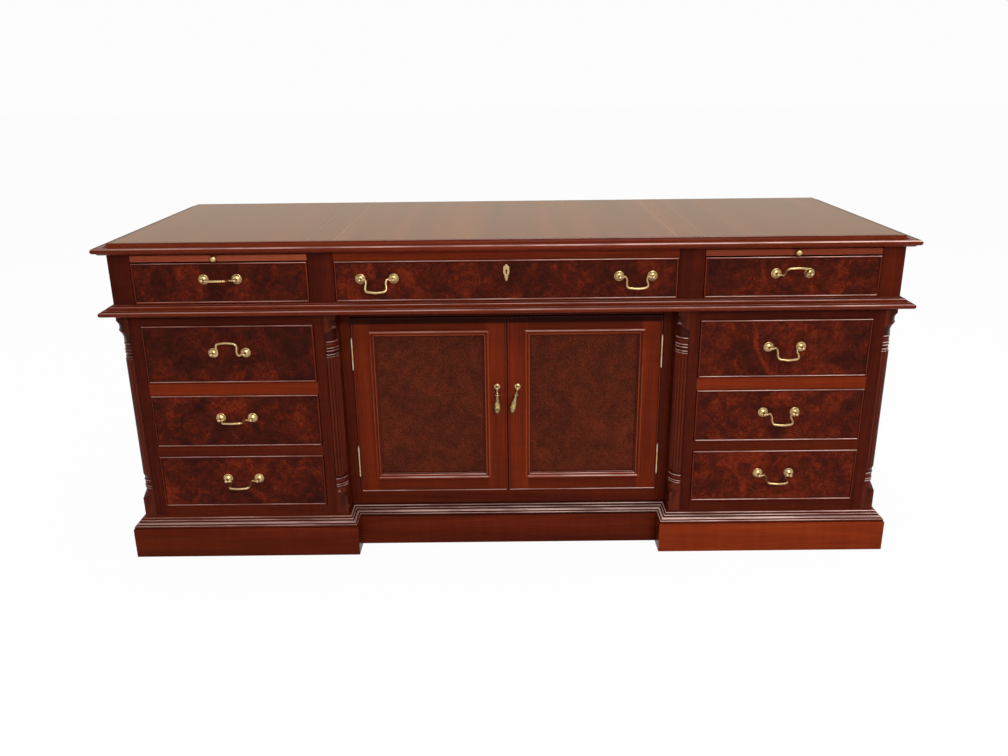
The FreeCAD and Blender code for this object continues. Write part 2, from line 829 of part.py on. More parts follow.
def make_pedestal(side):
    sign = SIDES[side]
    name = f"{side}_pedestal"
    front = (front_y, frame_back_y)
    full = (d.plinth_height, frieze_bottom)
    inside = (inner_x + d.board, half_width - d.board)
    outer_stile = mirrored((opening_out_x, column_out_x), sign)
    inner_stile = mirrored((column_in_x, opening_in_x), sign)
    inner_end = mirrored((inner_x, inside[0]), sign)
    pieces = [
        board(f"{name}_outer_stile", outer_stile, front, full),
        board(f"{name}_inner_stile", inner_stile, front, full),
        board(f"{name}_inner_end", inner_end, (frame_back_y, back_y), full),
        end_panel(side),
    ]
    rails = {
        "bottom": (d.plinth_height, bottom_z),
        "lower": (bottom_z + d.bottom_opening, middle_z),
        "upper": (middle_z + d.middle_opening, top_z),
        "top": (frieze_bottom - d.top_rail, frieze_bottom),
    }
    across = mirrored((opening_in_x, opening_out_x), sign)
    for rail, heights in rails.items():
        pieces.append(board(f"{name}_{rail}_rail", across, front, heights))
    pieces.append(
        board(
            f"{name}_floor",
            mirrored(inside, sign),
            (frame_back_y, rear_board_y),
            (d.plinth_height, d.plinth_height + d.bottom_rail - d.runner_high),
        )
    )
    for opening, (low, _) in OPENINGS.items():
        pieces += runners(
            f"{name}_{opening}", sign, opening_in_x, opening_out_x, *inside, low
        )
    pieces.append(back_panel(f"{name}_back", mirrored(inside, sign)))
    return group(f"{side}_pedestal_case", pieces)


# ---------------------------------------------------------------- frieze
def make_frieze():
    front = (front_y, frame_back_y)
    behind = (frame_back_y, rear_board_y)
    full = (frieze_deck, slab_bottom)
    wall_x = half_width - d.board
    slide_low = slide_bottom - d.slide_fit
    floor = (frieze_bottom, frieze_deck)
    pieces = [
        board("frieze_floor", (-half_width, half_width), (front_y, back_y), floor),
        board("frieze_rail", (-post_x, post_x), front, (frieze_head, slab_bottom)),
        board("frieze_back", (-wall_x, wall_x), (rear_board_y, back_y), full),
    ]
    for side, sign in SIDES.items():
        outer = partition_x + d.board
        lap = frieze_in_x + d.runner_wide * 0.5
        far_lap = frieze_out_x - d.runner_wide * 0.5
        guide = frieze_in_x + d.box_clear - d.slide_fit
        far_guide = frieze_out_x - d.box_clear + d.slide_fit
        slide_guide = frieze_in_x + d.front_gap - d.slide_fit
        far_slide_guide = frieze_out_x - d.front_gap + d.slide_fit
        carry = (slide_low - d.slide_runner, slide_low)
        beside = (slide_low, slide_bottom + d.slide_thick)
        low_guide = (frieze_deck, frieze_deck + d.guide_high)
        spans = {
            "stile": ((frieze_out_x, half_width), front, full),
            "post": ((post_x, frieze_in_x), front, full),
            "end": ((wall_x, half_width), (frame_back_y, back_y), full),
            "partition": ((partition_x, outer), behind, full),
            "inner_carrier": ((outer, lap), behind, carry),
            "outer_carrier": ((far_lap, wall_x), behind, carry),
            "inner_guide": ((outer, slide_guide), behind, beside),
            "outer_guide": ((far_slide_guide, wall_x), behind, beside),
            "drawer_guide": ((outer, guide), behind, low_guide),
            "far_drawer_guide": ((far_guide, wall_x), behind, low_guide),
            "long_drawer_guide": (
                (post_x - d.box_clear + d.slide_fit, partition_x),
                behind,
                low_guide,
            ),
        }
        for name, (across, deep, heights) in spans.items():
            across = mirrored(across, sign)
            pieces.append(board(f"frieze_{side}_{name}", across, deep, heights))
    return group("frieze_case", pieces)


# ---------------------------------------------------------------- drawers
def drawer_front(name, half, low, high, middle_x):
    """A veneered front with a cock bead round it."""
    body = new_body(f"{name}_front_board")
    face = new_sketch(body, "face", "XZ_Plane")
    edges = rectangle(face, -half, half, 0, high - low)
    pad(body, "board", face, d.front_thick, backwards=True)
    section = new_sketch(body, "bead_section", "YZ_Plane")
    outline(
        section,
        [
            (0, 0),
            (0, d.bead_width),
            (-d.bead_out * 0.7, d.bead_width * 0.85),
            (-d.bead_out, d.bead_width * 0.5),
            (-d.bead_out * 0.7, d.bead_width * 0.15),
        ],
    )
    run_moulding(body, "cock_bead", section, face, edges)
    return place(body, middle_x, front_y, low)


def drawer_box(name, left, right, low, height):
    """Two sides, a back and a bottom behind the front."""
    start = front_y + d.front_thick
    end = rear_board_y - d.box_behind
    inner = (left + d.box_side, right - d.box_side)
    base = low + d.slide_fit
    full = (base, base + height)
    floor = base + d.bottom_up
    pieces = [
        board(f"{name}_left_side", (left, inner[0]), (start, end), full),
        board(f"{name}_right_side", (inner[1], right), (start, end), full),
        board(f"{name}_back", inner, (end - d.box_side, end), full),
        board(
            f"{name}_bottom",
            inner,
            (start, end - d.box_side),
            (floor, floor + d.box_bottom),
        ),
    ]
    return group(f"{name}_box", pieces)


def handle(name, prefix, x, z, swing):
    """Two posts and the bail between them."""
    posts = [
        copy_of(POST, f"{prefix}_{side}_post", x + d.pull_centres * (0.5 * sign), front_y, z)
        for side, sign in SIDES.items()
    ]
    bail = copy_of(
        BAIL,
        f"{prefix}_wire",
        x,
        front_y - d.pivot_out,
        z,
        axis=Vector(1, 0, 0),
        turn=-swing,
    )
    group(f"{prefix}_bail", [bail])
    return posts


def make_drawer(name, edges, low, opening, box_height, handles):
    """edges: both sides of the opening. handles: (prefix, x, z, swing) of each."""
    left, right = in_order(edges)
    half = (right - left) * 0.5 - d.front_gap
    top = low + opening - d.front_gap * 0.5
    front = drawer_front(name, half, low + d.front_gap, top, (left + right) * 0.5)
    posts = []
    for prefix, x, z, swing in handles:
        posts += handle(name, prefix, x, z, swing)
    group(f"{name}_pulls", posts)
    drawer_box(name, left + d.box_clear, right - d.box_clear, low, box_height)
    return front


def make_drawers():
    frieze = (frieze_deck, d.frieze_front)
    frieze_box = d.frieze_front - d.frieze_box_lower
    for side, sign in SIDES.items():
        name = f"{side}_frieze_drawer"
        edges = mirrored((frieze_in_x, frieze_out_x), sign)
        swing = getattr(d, f"swing_{side}_frieze")
        height = frieze_middle + d.frieze_pull_up
        pull = (name, (edges[0] + edges[1]) * 0.5, height, swing)
        front = make_drawer(name, edges, *frieze, frieze_box, [pull])
        node(front, f"{name}_front")
        edges = mirrored((opening_in_x, opening_out_x), sign)
        for row, (low, opening) in OPENINGS.items():
            name = f"{side}_{row}_drawer"
            swing = getattr(d, f"swing_{side}_{row}")
            height = low + opening * 0.5 + getattr(d, f"{row}_pull_up")
            pull = (name, (edges[0] + edges[1]) * 0.5, height, swing)
            box_height = opening - d.box_lower
            front = make_drawer(name, edges, low, opening, box_height, [pull])
            node(front, f"{name}_front")
    pulls = [
        (
            f"long_drawer_{side}",
            d.long_pull_x * sign,
            frieze_middle + d.long_pull_up,
            getattr(d, f"swing_long_{side}"),
        )
        for side, sign in SIDES.items()
    ]
    edges = (-post_x, post_x)
    front = make_drawer("long_drawer", edges, *frieze, frieze_box, pulls)
    keyway = DOC.addObject("Part::Cylinder", "keyway")
    keyway.Placement = Placement(Vector(), Rotation(Vector(1, 0, 0), -90))
    tie(keyway, "Radius", d.keyhole_radius)
    tie(keyway, "Height", d.front_thick + 2)
    place(keyway, 0, front_y - 1, keyhole_z)
    node(cut("long_drawer_front", front, [keyway]), "long_drawer_front")


# ---------------------------------------------------------------- handle pieces
def make_post():
    """A domed rosette, a neck and a pierced head, standing out along -Y."""
    body = new_body("post_pattern")
    neck = d.post_head * 0.6
    head = d.post_head
    dome = d.rosette_radius
    dome_shape = [(dome, 0), (dome * 0.88, dome * 0.4), (neck, dome * 0.75)]
    head_shape = [
        (neck, d.pivot_out - head * 1.3),
        (head, d.pivot_out - head * 0.8),
        (head, d.pivot_out + head * 0.7),
        (neck, d.pivot_out + head),
    ]
    flat_turning(body, "rosette", "Y", 8, neck, (0, dome * 0.75), dome_shape)
    stem = (dome * 0.3, d.pivot_out + head)
    flat_turning(body, "stem", "Y", 8, neck, stem, head_shape)
    hole = new_sketch(body, "pin_hole", "YZ_Plane", -head * 2)
    regular(hole, -d.pivot_out, 0, 8, d.pin_radius + d.pin_fit)
    pocket(body, "bore", hole, head * 4, backwards=True)
    return body


def make_bail():
    """The swan-neck wire, hanging, with its pins on the X axis at the origin."""
    body = new_body("bail_pattern")
    shoulder = d.pull_centres * 0.5 - d.post_head - d.bail_shoulder
    ease = d.bail_wire * 1.7
    low = d.bail_bow - d.bail_drop
    half = [
        (shoulder, 0),
        (d.bail_neck + ease, d.bail_rise),
        (d.bail_neck, -d.bail_rise),
        (d.bail_foot, low + ease),
        (d.bail_foot - ease * 1.3, low - d.bail_bow * 0.2),
    ]
    path = new_sketch(body, "path", "XZ_Plane")
    edges = straight_path(
        path,
        [*((-x, z) for x, z in half), (0, -d.bail_drop), *reversed(half)],
    )
    section = new_sketch(body, "wire_section", "YZ_Plane", -shoulder)
    regular(section, 0, 0, 6, d.bail_wire)
    run_moulding(body, "wire", section, path, edges)
    reach = d.bail_shoulder + d.post_head * 2 + 0.8
    for side, sign in SIDES.items():
        end = new_sketch(body, f"{side}_pin_section", "YZ_Plane", shoulder * sign)
        circle(end, 0, 0, d.pin_radius)
        pad(body, f"{side}_pin", end, reach, backwards=sign < 0)
    return body


# ---------------------------------------------------------------- writing slides
def make_slide(side):
    sign = SIDES[side]
    edges = (frieze_in_x + d.front_gap, frieze_out_x - d.front_gap)
    name = f"{side}_writing_slide"
    node(
        board(
            name,
            (edges[0] * sign, edges[1] * sign),
            (front_y, front_y + d.slide_length),
            (slide_bottom, slide_bottom + d.slide_thick),
        ),
        name,
    )
    body = new_body(f"{side}_slide_knob")
    ball = d.knob_radius
    stem = ball * 0.45
    knob_shape = [
        (stem, d.knob_out - ball * 1.7),
        (ball, d.knob_out - ball),
        (ball * 0.6, d.knob_out - ball * 0.2),
        (stem, d.knob_out),
    ]
    flat_turning(body, "turned", "Y", 12, stem, (0, d.knob_out), knob_shape)
    knob_x = (frieze_in_x + frieze_out_x) * 0.5 + d.knob_shift
    place(body, knob_x * sign, front_y, slide_bottom + d.slide_thick * 0.5)
    node(body, f"{side}_slide_knob")


# ---------------------------------------------------------------- lock
def make_lock():
    """The pierced keyhole plate on the long drawer, and the lock case behind."""
    plate = new_body("keyhole_plate")
    face = new_sketch(plate, "outline", "XZ_Plane")
    wide = d.plate_width * 0.5
    tall = d.plate_height * 0.5
    outline(
        face,
        [
            (wide * 0.25, -tall),
            (wide * 0.8, -tall * 0.4),
            (wide, tall * 0.2),
            (wide * 0.7, tall * 0.75),
            (0, tall),
            (wide * -0.7, tall * 0.75),
            (-wide, tall * 0.2),
            (wide * -0.8, -tall * 0.4),
            (wide * -0.25, -tall),
        ],
    )
    circle(face, 0, tall * 0.25, d.keyhole_radius)
    pad(plate, "plate", face, d.plate_thick)
    place(plate, 0, front_y, keyhole_z - tall * 0.25)
    back = front_y + d.front_thick
    case = board(
        "lock_case",
        (d.lock_width * -0.5, d.lock_width * 0.5),
        (back, back + d.lock_thick),
        (keyhole_z - d.lock_height * 0.65, keyhole_z + d.lock_height * 0.35),
    )
    return group("long_drawer_lock", [plate, case])


# ---------------------------------------------------------------- cupboard
def hinge_recesses(side):
    """Room for the knuckles, their finials and both leaves in a stile and its door."""
    sign = SIDES[side]
    room = d.hinge_radius + 0.7
    half = d.hinge_length * 0.5
    reach = half + d.finial + 0.7
    tools = []
    for level, z in hinge_heights:
        tools.append(
            board(
                f"{side}_{level}_knuckle_room",
                mirrored((hinge_x - room, hinge_x + room), sign),
                (hinge_y - room - d.bead_out, hinge_y + room),
                (z - reach, z + reach),
            )
        )
        leaf = d.leaf_thick + d.door_gap * 0.5
        tools.append(
            board(
                f"{side}_{level}_leaf_room",
                mirrored((hinge_x - leaf, hinge_x + leaf), sign),
                (hinge_y, hinge_y + d.leaf_deep),
                (z - half, z + half),
            )
        )
    return tools


def make_cupboard(recesses):
    frame = (cupboard_y, cupboard_y + d.door_thick)
    full = (d.plinth_height, frieze_bottom)
    behind = (frame[1], rear_board_y)
    top_rail = (frieze_bottom - d.door_head, frieze_bottom)
    bottom_rail = (d.plinth_height, door_bottom - d.door_gap)
    pieces = [
        board("cupboard_bottom_rail", (-stile_x, stile_x), frame, bottom_rail),
        board("cupboard_top_rail", (-stile_x, stile_x), frame, top_rail),
        board("cupboard_floor", (-inner_x, inner_x), behind, (d.plinth_height, deck_z)),
        board(
            "door_stop",
            (-stile_x, stile_x),
            (frame[1] + d.slide_fit, frame[1] + d.floor_board),
            (top_rail[0] - d.door_head * 0.4, frieze_bottom),
        ),
        back_panel("cupboard_back", (-inner_x, inner_x)),
    ]
    shelf_low = d.shelf_height - d.floor_board
    cleat = (shelf_low - d.runner_high, shelf_low)
    for side, sign in SIDES.items():
        stile = board(f"{side}_cupboard_board", (stile_x * sign, inner_x * sign), frame, full)
        pieces.append(cut(f"{side}_cupboard_stile", stile, recesses[side]))
        pieces.append(
            board(
                f"{side}_shelf_cleat",
                (inner_x * sign, (inner_x - d.board) * sign),
                (cupboard_y + d.shelf_setback, rear_board_y),
                cleat,
            )
        )
    group("cupboard_case", pieces)
    shelf = board(
        "cupboard_shelf",
        (1 - inner_x, inner_x - 1),
        (cupboard_y + d.shelf_setback, rear_board_y - 1),
        (shelf_low, d.shelf_height),
    )
    node(shelf, "cupboard_shelf")


def make_door(side, recesses):
    sign = SIDES[side]
    width = door_edge_x - d.door_gap
    height = door_top - door_bottom
    name = f"{side}_door"
    frame = fielded_board(
        f"{name}_framing", width, height, d.door_thick, d.door_stile, d.door_rail, True
    )
    middle = (door_edge_x + d.door_gap) * (0.5 * sign)
    section = new_sketch(frame, "bead_section", "YZ_Plane")
    rim = new_sketch(frame, "rim", "XZ_Plane")
    edges = rectangle(rim, width * -0.5, width * 0.5, 0, height)
    outline(
        section,
        [
            (0, 0),
            (0, d.bead_width),
            (-d.bead_out * 0.7, d.bead_width * 0.5),
        ],
    )
    run_moulding(frame, "cock_bead", section, rim, edges)
    place(frame, middle, cupboard_y, door_bottom)
    node(cut(f"{name}_frame", frame, recesses), f"{name}_frame")
    inner_edge = d.door_gap + d.door_stile
    outer_edge = door_edge_x - d.door_stile
    panel_y = cupboard_y + d.field_deep
    node(
        board(
            f"{name}_panel",
            (inner_edge * sign, outer_edge * sign),
            (panel_y, panel_y + d.panel_thick),
            (door_bottom + d.door_rail, door_top - d.door_rail),
        ),
        f"{name}_panel",
    )


def make_fixed_leaf():
    """Pin, finials and two knuckles in one turning, and the leaf for the stile.
    The pin is the Z axis, and the middle of the hinge is at the origin."""
    body = new_body("fixed_leaf_pattern")
    half = d.hinge_length * 0.5
    gap = d.hinge_length * (1 / 6) + d.slide_fit
    knuckle = d.hinge_radius
    core = d.hinge_pin * math.cos(math.pi / 8)
    tip = half + d.finial
    shapes = []
    for sign in (-1, 1):
        shapes.append([(knuckle, half * sign), (knuckle, gap * sign)])
        ball = (d.finial_radius, (half + d.finial * 0.55) * sign)
        shapes.append([(core, (half + d.finial * 0.2) * sign), ball, (core, tip * sign)])
    flat_turning(body, "pin_and_knuckles", "Z", 8, core, (-tip, tip), *shapes)
    pin = new_sketch(body, "pin", "XY_Plane", -gap)
    circle(pin, 0, 0, d.hinge_pin)
    pad(body, "round_pin", pin, gap * 2)
    clear = knuckle + d.slide_fit
    tongues = [(0, half), (0, gap), (clear, gap), (clear, -gap), (0, -gap), (0, -half)]
    leaf_plate(body, 1, tongues)
    return body


def leaf_plate(body, sign, near):
    """The flat of a hinge leaf. near is the edge beside its knuckles, from the top
    down: points (distance from the pin, height)."""
    half = d.hinge_length * 0.5
    plate = new_sketch(body, "leaf", "YZ_Plane", d.door_gap * (0.5 * sign))
    outline(plate, [(d.leaf_deep, -half), (d.leaf_deep, half), *near])
    return pad(body, "leaf_plate", plate, d.leaf_thick, backwards=sign < 0)


def make_moving_leaf():
    """The door's leaf, with one bored knuckle between the two fixed ones."""
    body = new_body("moving_leaf_pattern")
    half = d.hinge_length * 0.5
    third = d.hinge_length * (1 / 6)
    barrel, _ = many_sided(body, "knuckle", "Z", 8, d.hinge_radius, -third)
    pad(body, "knuckle_barrel", barrel, third * 2)
    clear = d.hinge_radius + d.slide_fit
    upper = [(clear, half), (clear, third), (0, third)]
    lower = [(0, -third), (clear, -third), (clear, -half)]
    leaf_plate(body, -1, upper + lower)
    bore = new_sketch(body, "bore", "XY_Plane", -third - 1)
    regular(bore, 0, 0, 8, d.hinge_pin + d.pin_fit)
    pocket(body, "pin_bore", bore, third * 2 + 2, backwards=True)
    return body


def hinge_copies(pattern, name, side):
    angle = 0 if side == "right" else 180
    return [
        copy_of(
            pattern,
            f"{name}_{level}",
            hinge_x * SIDES[side],
            hinge_y,
            z,
            axis=Vector(0, 1, 0),
            turn=angle,
        )
        for level, z in hinge_heights
    ]


def make_drop_post():
    """A small rosette with a forked head, and the pin across the fork."""
    body = new_body("drop_post_pattern")
    rose = d.drop_rosette
    head = d.post_head + 0.6
    neck = head * 0.6
    rose_shape = [(rose, 0), (rose, rose * 0.2), (neck, rose * 0.4)]
    head_shape = [
        (neck, d.drop_out - head * 1.2),
        (head, d.drop_out - head * 0.7),
        (head, d.drop_out + head * 0.4),
        (neck, d.drop_out + head),
    ]
    flat_turning(body, "rosette", "Y", 12, neck, (0, rose * 0.4), rose_shape)
    stem = (rose * 0.1, d.drop_out + head)
    flat_turning(body, "stem", "Y", 8, neck, stem, head_shape)
    slot = new_sketch(body, "slot", "XY_Plane", -head * 2)
    half = d.drop_fork * 0.5
    rectangle(slot, -half, half, -d.drop_out - head * 2, head * 0.95 - d.drop_out)
    pocket(body, "fork", slot, head * 4, backwards=True)
    pin = new_sketch(body, "pin", "YZ_Plane", head * -0.7)
    circle(pin, -d.drop_out, 0, d.pin_radius)
    pad(body, "cross_pin", pin, head * 1.4)
    return body


def make_drop():
    """The teardrop: a flat eye on the pin, a collar and a turned drop below."""
    body = new_body("drop_pattern")
    eye_radius = d.post_head * 0.85
    eye = new_sketch(body, "eye", "YZ_Plane", d.drop_tang * -0.5)
    regular(eye, 0, 0, 10, eye_radius)
    pad(body, "eye_disc", eye, d.drop_tang)
    wide = d.drop_radius
    long = d.drop_length
    stem = d.drop_tang * 0.4
    drop_shape = [
        (stem, -long),
        (wide * 0.45, -long * 0.985),
        (wide * 0.85, -long * 0.9),
        (wide, -long * 0.75),
        (wide * 0.7, -long * 0.58),
        (wide * 0.3, -long * 0.4),
        (wide * 0.25, -long * 0.3),
        (wide * 0.45, -long * 0.26),
        (wide * 0.45, -long * 0.2),
        (stem, -long * 0.17),
    ]
    rod = (-long, eye_radius * -0.7)
    flat_turning(body, "turned", "Z", 12, stem, rod, drop_shape)
    hole = new_sketch(body, "eye_hole", "YZ_Plane", -d.drop_tang)
    regular(hole, 0, 0, 8, d.pin_radius + d.pin_fit)
    pocket(body, "eye_bore", hole, d.drop_tang * 2, backwards=True)
    return body


def make_door_brass():
    fixed = make_fixed_leaf()
    moving = make_moving_leaf()
    post = make_drop_post()
    drop = make_drop()
    group(
        "door_hinge_leaves",
        hinge_copies(fixed, "left_fixed_leaf", "left")
        + hinge_copies(fixed, "right_fixed_leaf", "right"),
    )
    for side, sign in SIDES.items():
        turned = d.right_drop_turn if side == "right" else 0
        spot = (d.drop_x * sign, cupboard_y, drop_z)
        y_axis = Vector(0, 1, 0)
        brass = hinge_copies(moving, f"{side}_moving_leaf", side)
        brass.append(copy_of(post, f"{side}_drop_post", *spot, axis=y_axis, turn=turned))
        group(f"{side}_door_brass", brass)
        hung = (spot[0], cupboard_y - d.drop_out, spot[2])
        hanging = copy_of(drop, f"{side}_drop_piece", *hung, axis=y_axis, turn=turned)
        group(f"{side}_door_drop", [hanging])


# ---------------------------------------------------------------- the desk
make_desktop()
make_frieze()
make_waist()
make_pedestal("left")
make_pedestal("right")
make_columns()
door_recesses = {side: hinge_recesses(side) for side in SIDES}
make_cupboard(door_recesses)
make_plinth()
POST = make_post()
BAIL = make_bail()
for side in SIDES:
    make_slide(side)
    make_door(side, door_recesses[side])
make_drawers()
make_lock()
make_door_brass()
DOC.recompute()

failed = [
    item.Name for item in DOC.Objects if {"Invalid", "Error"} & set(item.State)
]
if failed:
    raise RuntimeError(f"these did not compute: {failed}")

os.makedirs("parts", exist_ok=True)
for item in NODES:
    shape = item.Shape
    if shape.isNull() or not shape.isValid() or not shape.Solids:
        raise RuntimeError(f"{item.Label} has no valid solid")
    shape.exportStep(f"parts/{item.Label}.step")
print(f"{len(NODES)} nodes")
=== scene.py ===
# %% [markdown]
# A breakfront pedestal desk in polished mahogany and burr veneer. Its working parts
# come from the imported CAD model, which is loaded as a fixed frame: this script puts
# the visible wood and brass around that frame, so that every drawer, door and handle
# still moves as the frame says.

import math

import bmesh
import bpy
from mathutils import Matrix, Vector


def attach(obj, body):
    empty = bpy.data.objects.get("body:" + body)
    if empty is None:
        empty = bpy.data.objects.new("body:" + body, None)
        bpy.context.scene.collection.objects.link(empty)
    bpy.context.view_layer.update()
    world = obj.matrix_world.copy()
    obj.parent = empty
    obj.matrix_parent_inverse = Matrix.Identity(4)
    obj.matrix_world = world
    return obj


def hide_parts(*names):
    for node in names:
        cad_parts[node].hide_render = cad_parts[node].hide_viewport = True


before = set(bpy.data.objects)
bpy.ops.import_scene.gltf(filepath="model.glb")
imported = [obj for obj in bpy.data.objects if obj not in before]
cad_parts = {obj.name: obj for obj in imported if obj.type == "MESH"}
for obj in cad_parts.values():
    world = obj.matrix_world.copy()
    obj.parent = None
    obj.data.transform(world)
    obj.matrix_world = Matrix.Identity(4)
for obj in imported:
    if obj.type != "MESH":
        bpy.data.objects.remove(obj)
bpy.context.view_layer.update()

# %% [markdown]
# Sizes are written in millimetres, as in a workshop drawing, and are turned into
# metres where a mesh is made. The front of the desk faces -Y and +Z is up.

# %% Places shared by several pieces
MM = 0.001
WELD = 1e-6
AXIS_X, AXIS_Y, AXIS_Z = range(3)
SIDES = {"left": -1, "right": 1}
HALF_WIDTH = 900
FRONT_Y = -320
BACK_Y = 330
CUPBOARD_Y = -263
TOP_Z = 780
FACING_FRONT = Matrix.Rotation(math.radians(90), 4, "X")


def moved(x, y, z):
    return Matrix.Translation(Vector((x, y, z)) * MM)


def inset(ends, by):
    """A pair of ends, each drawn in."""
    return ends[0] + by, ends[1] - by


def put(bm, matrix):
    bmesh.ops.transform(bm, matrix=matrix, verts=bm.verts)
    return bm


print("front at", FRONT_Y, "mm, cupboard at", CUPBOARD_Y, "mm")

# %% [markdown]
# Every board of a real desk is cut so that the grain runs along its length, and no two
# boards are quite the same red. The finish has to know both, so each corner of each
# face carries attributes: grain, how far it lies along the board and across it, and
# shade, 0 for a dark board and 1 for a light one, which on some boards also holds
# painted light or painted shade. Mouldings carry two more: one marks the crests, painted
# pale as wear and as a painted highlight that grows towards the right, and one marks the
# quirks, which get painted shade. One recipe for mahogany then serves stiles, rails and
# mouldings alike.

# %% Grain direction, shade, wear and painted light
def wood_layers(bm):
    """The grain layer and the three numbers. Looked up after all of them exist."""
    places, numbers = bm.loops.layers.float_vector, bm.loops.layers.float
    if not places.get("grain"):
        places.new("grain")
    for name in ("shade", "rubbed", "hollow"):
        if not numbers.get(name):
            numbers.new(name)
    return places["grain"], numbers["shade"], numbers["rubbed"], numbers["hollow"]


def longest_axis(vector):
    return max(range(3), key=lambda axis: abs(vector[axis]))


def run_of(face):
    """The axis that a face of a moulding runs along: that of its longest edge."""
    edge = max(face.edges, key=lambda item: item.calc_length())
    return longest_axis(edge.verts[1].co - edge.verts[0].co)


SHOULDER_TILT = (0.46, 0.8)
CREST_TURN = (0.05, 0.7)
QUIRK_TURN = -0.2
# How pale a crest is painted in the middle, as wear and painted highlight, and how much more per
# metre to the right, as painted light.
WEAR_AND_HIGHLIGHT_MIDDLE = 0.66
PAINTED_LIGHT_PER_METRE = 0.38


def is_crest(face, tilt):
    """Whether a face is a narrow strip on the upper shoulder of something round. Tilt
    holds the least and the most that its normal points up."""
    if not tilt[0] < face.normal.z < tilt[1]:
        return False
    sides = sorted(face.edges, key=lambda item: item.calc_length())[-2:]
    turns = [edge.calc_face_angle_signed(0) for edge in sides]
    return all(CREST_TURN[0] < turn < CREST_TURN[1] for turn in turns)


def wear_and_painted_light(bm, tilt=SHOULDER_TILT, share=1.0):
    """Crests get pale wear and painted highlight, more to the right; quirks get painted shade.
    """
    _, _, rubbed, hollow = wood_layers(bm)
    bm.normal_update()
    for edge in bm.edges:
        # Concave edges, the quirks, get painted shade.
        if edge.calc_face_angle_signed(0) < QUIRK_TURN:
            for vert in edge.verts:
                for loop in vert.link_loops:
                    loop[hollow] = 1.0
    for face in bm.faces:
        # Crests get the pale mark of wear and painted highlight, and lose the painted shade.
        if is_crest(face, tilt):
            for loop in face.loops:
                more = loop.vert.co.x * PAINTED_LIGHT_PER_METRE
                loop[rubbed] = share * (WEAR_AND_HIGHLIGHT_MIDDLE + more)
                loop[hollow] = 0.0


# A shift moves a board's pattern along, across and through, so that no two are alike.
SHIFTS = (1.0, 0.37, -0.21)


def lay_grain(bm, along=None, shift=0.0, shade=0.0):
    grain, light = wood_layers(bm)[:2]
    for face in bm.faces:
        first = run_of(face) if along is None else along
        for loop in face.loops:
            loop[light] = shade
            loop[grain] = [
                loop.vert.co[(first + step) % 3] + shift * part
                for step, part in enumerate(SHIFTS)
            ]


def add(bm, other):
    """Puts another mesh's islands into bm, and frees it."""
    wood_layers(bm)
    wood_layers(other)
    island = bpy.data.meshes.new("island")
    other.to_mesh(island)
    other.free()
    bm.from_mesh(island)
    bpy.data.meshes.remove(island)


print("the grain attribute holds metres along and across a board")

# %% [markdown]
# A mesh becomes a piece of the desk once it has a name, a body to ride on, the CAD
# node it stands for and a finish. Edges that turn by less than a set angle are
# shaded smooth, the others stay crisp. Wide faces are shaded flat, so that the eased
# edges round them don't bend their reflections.

# %% Turn a mesh into a piece
SMOOTH_BELOW = math.radians(40)
FLAT_FROM = 3.2


def piece(name, bm, body, nodes, finish):
    for face in bm.faces:
        longest = max(edge.calc_length() for edge in face.edges)
        face.smooth = face.calc_area() / longest < FLAT_FROM * MM
    for edge in bm.edges:
        soft = len(edge.link_faces) == 2 and edge.calc_face_angle(0) < SMOOTH_BELOW
        edge.smooth = soft
    mesh = bpy.data.meshes.new(name)
    bm.to_mesh(mesh)
    bm.free()
    mesh.materials.append(finish)
    shown = bpy.data.objects.new(name, mesh)
    bpy.context.scene.collection.objects.link(shown)
    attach(shown, body)
    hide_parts(*nodes)
    print(name, len(mesh.polygons), "faces on", body)
    return shown


# %% [markdown]
# Shader networks are easier to read as sums. A Signal wraps one output socket and
# its operators add Math nodes, so a mask can be written as 1 - specks * 0.4.

# %% Write shader maths as expressions
class Signal:
    def __init__(self, nodes, socket):
        self.nodes = nodes
        self.socket = socket

    def maths(self, operation, first, second=0.0):
        sockets = {0: first, 1: second}
        return self.nodes.node("ShaderNodeMath", {"operation": operation}, sockets)

    def __add__(self, other):
        return self.maths("ADD", self, other)

    def __sub__(self, other):
        return self.maths("SUBTRACT", self, other)

    def __rsub__(self, other):
        return self.maths("SUBTRACT", other, self)

    def __mul__(self, other):
        return self.maths("MULTIPLY", self, other)

    def __abs__(self):
        return self.maths("ABSOLUTE", self)

    def larger(self, other):
        return self.maths("MAXIMUM", self, other)

    __radd__ = __add__
    __rmul__ = __mul__


print("signals can be added, subtracted and multiplied")

# %% [markdown]
# Nodes holds one node tree. Its method node makes a node from a type, its settings,
# and the values or signals of its sockets, and the others are short names for the
# nodes that the finishes of a desk need most.

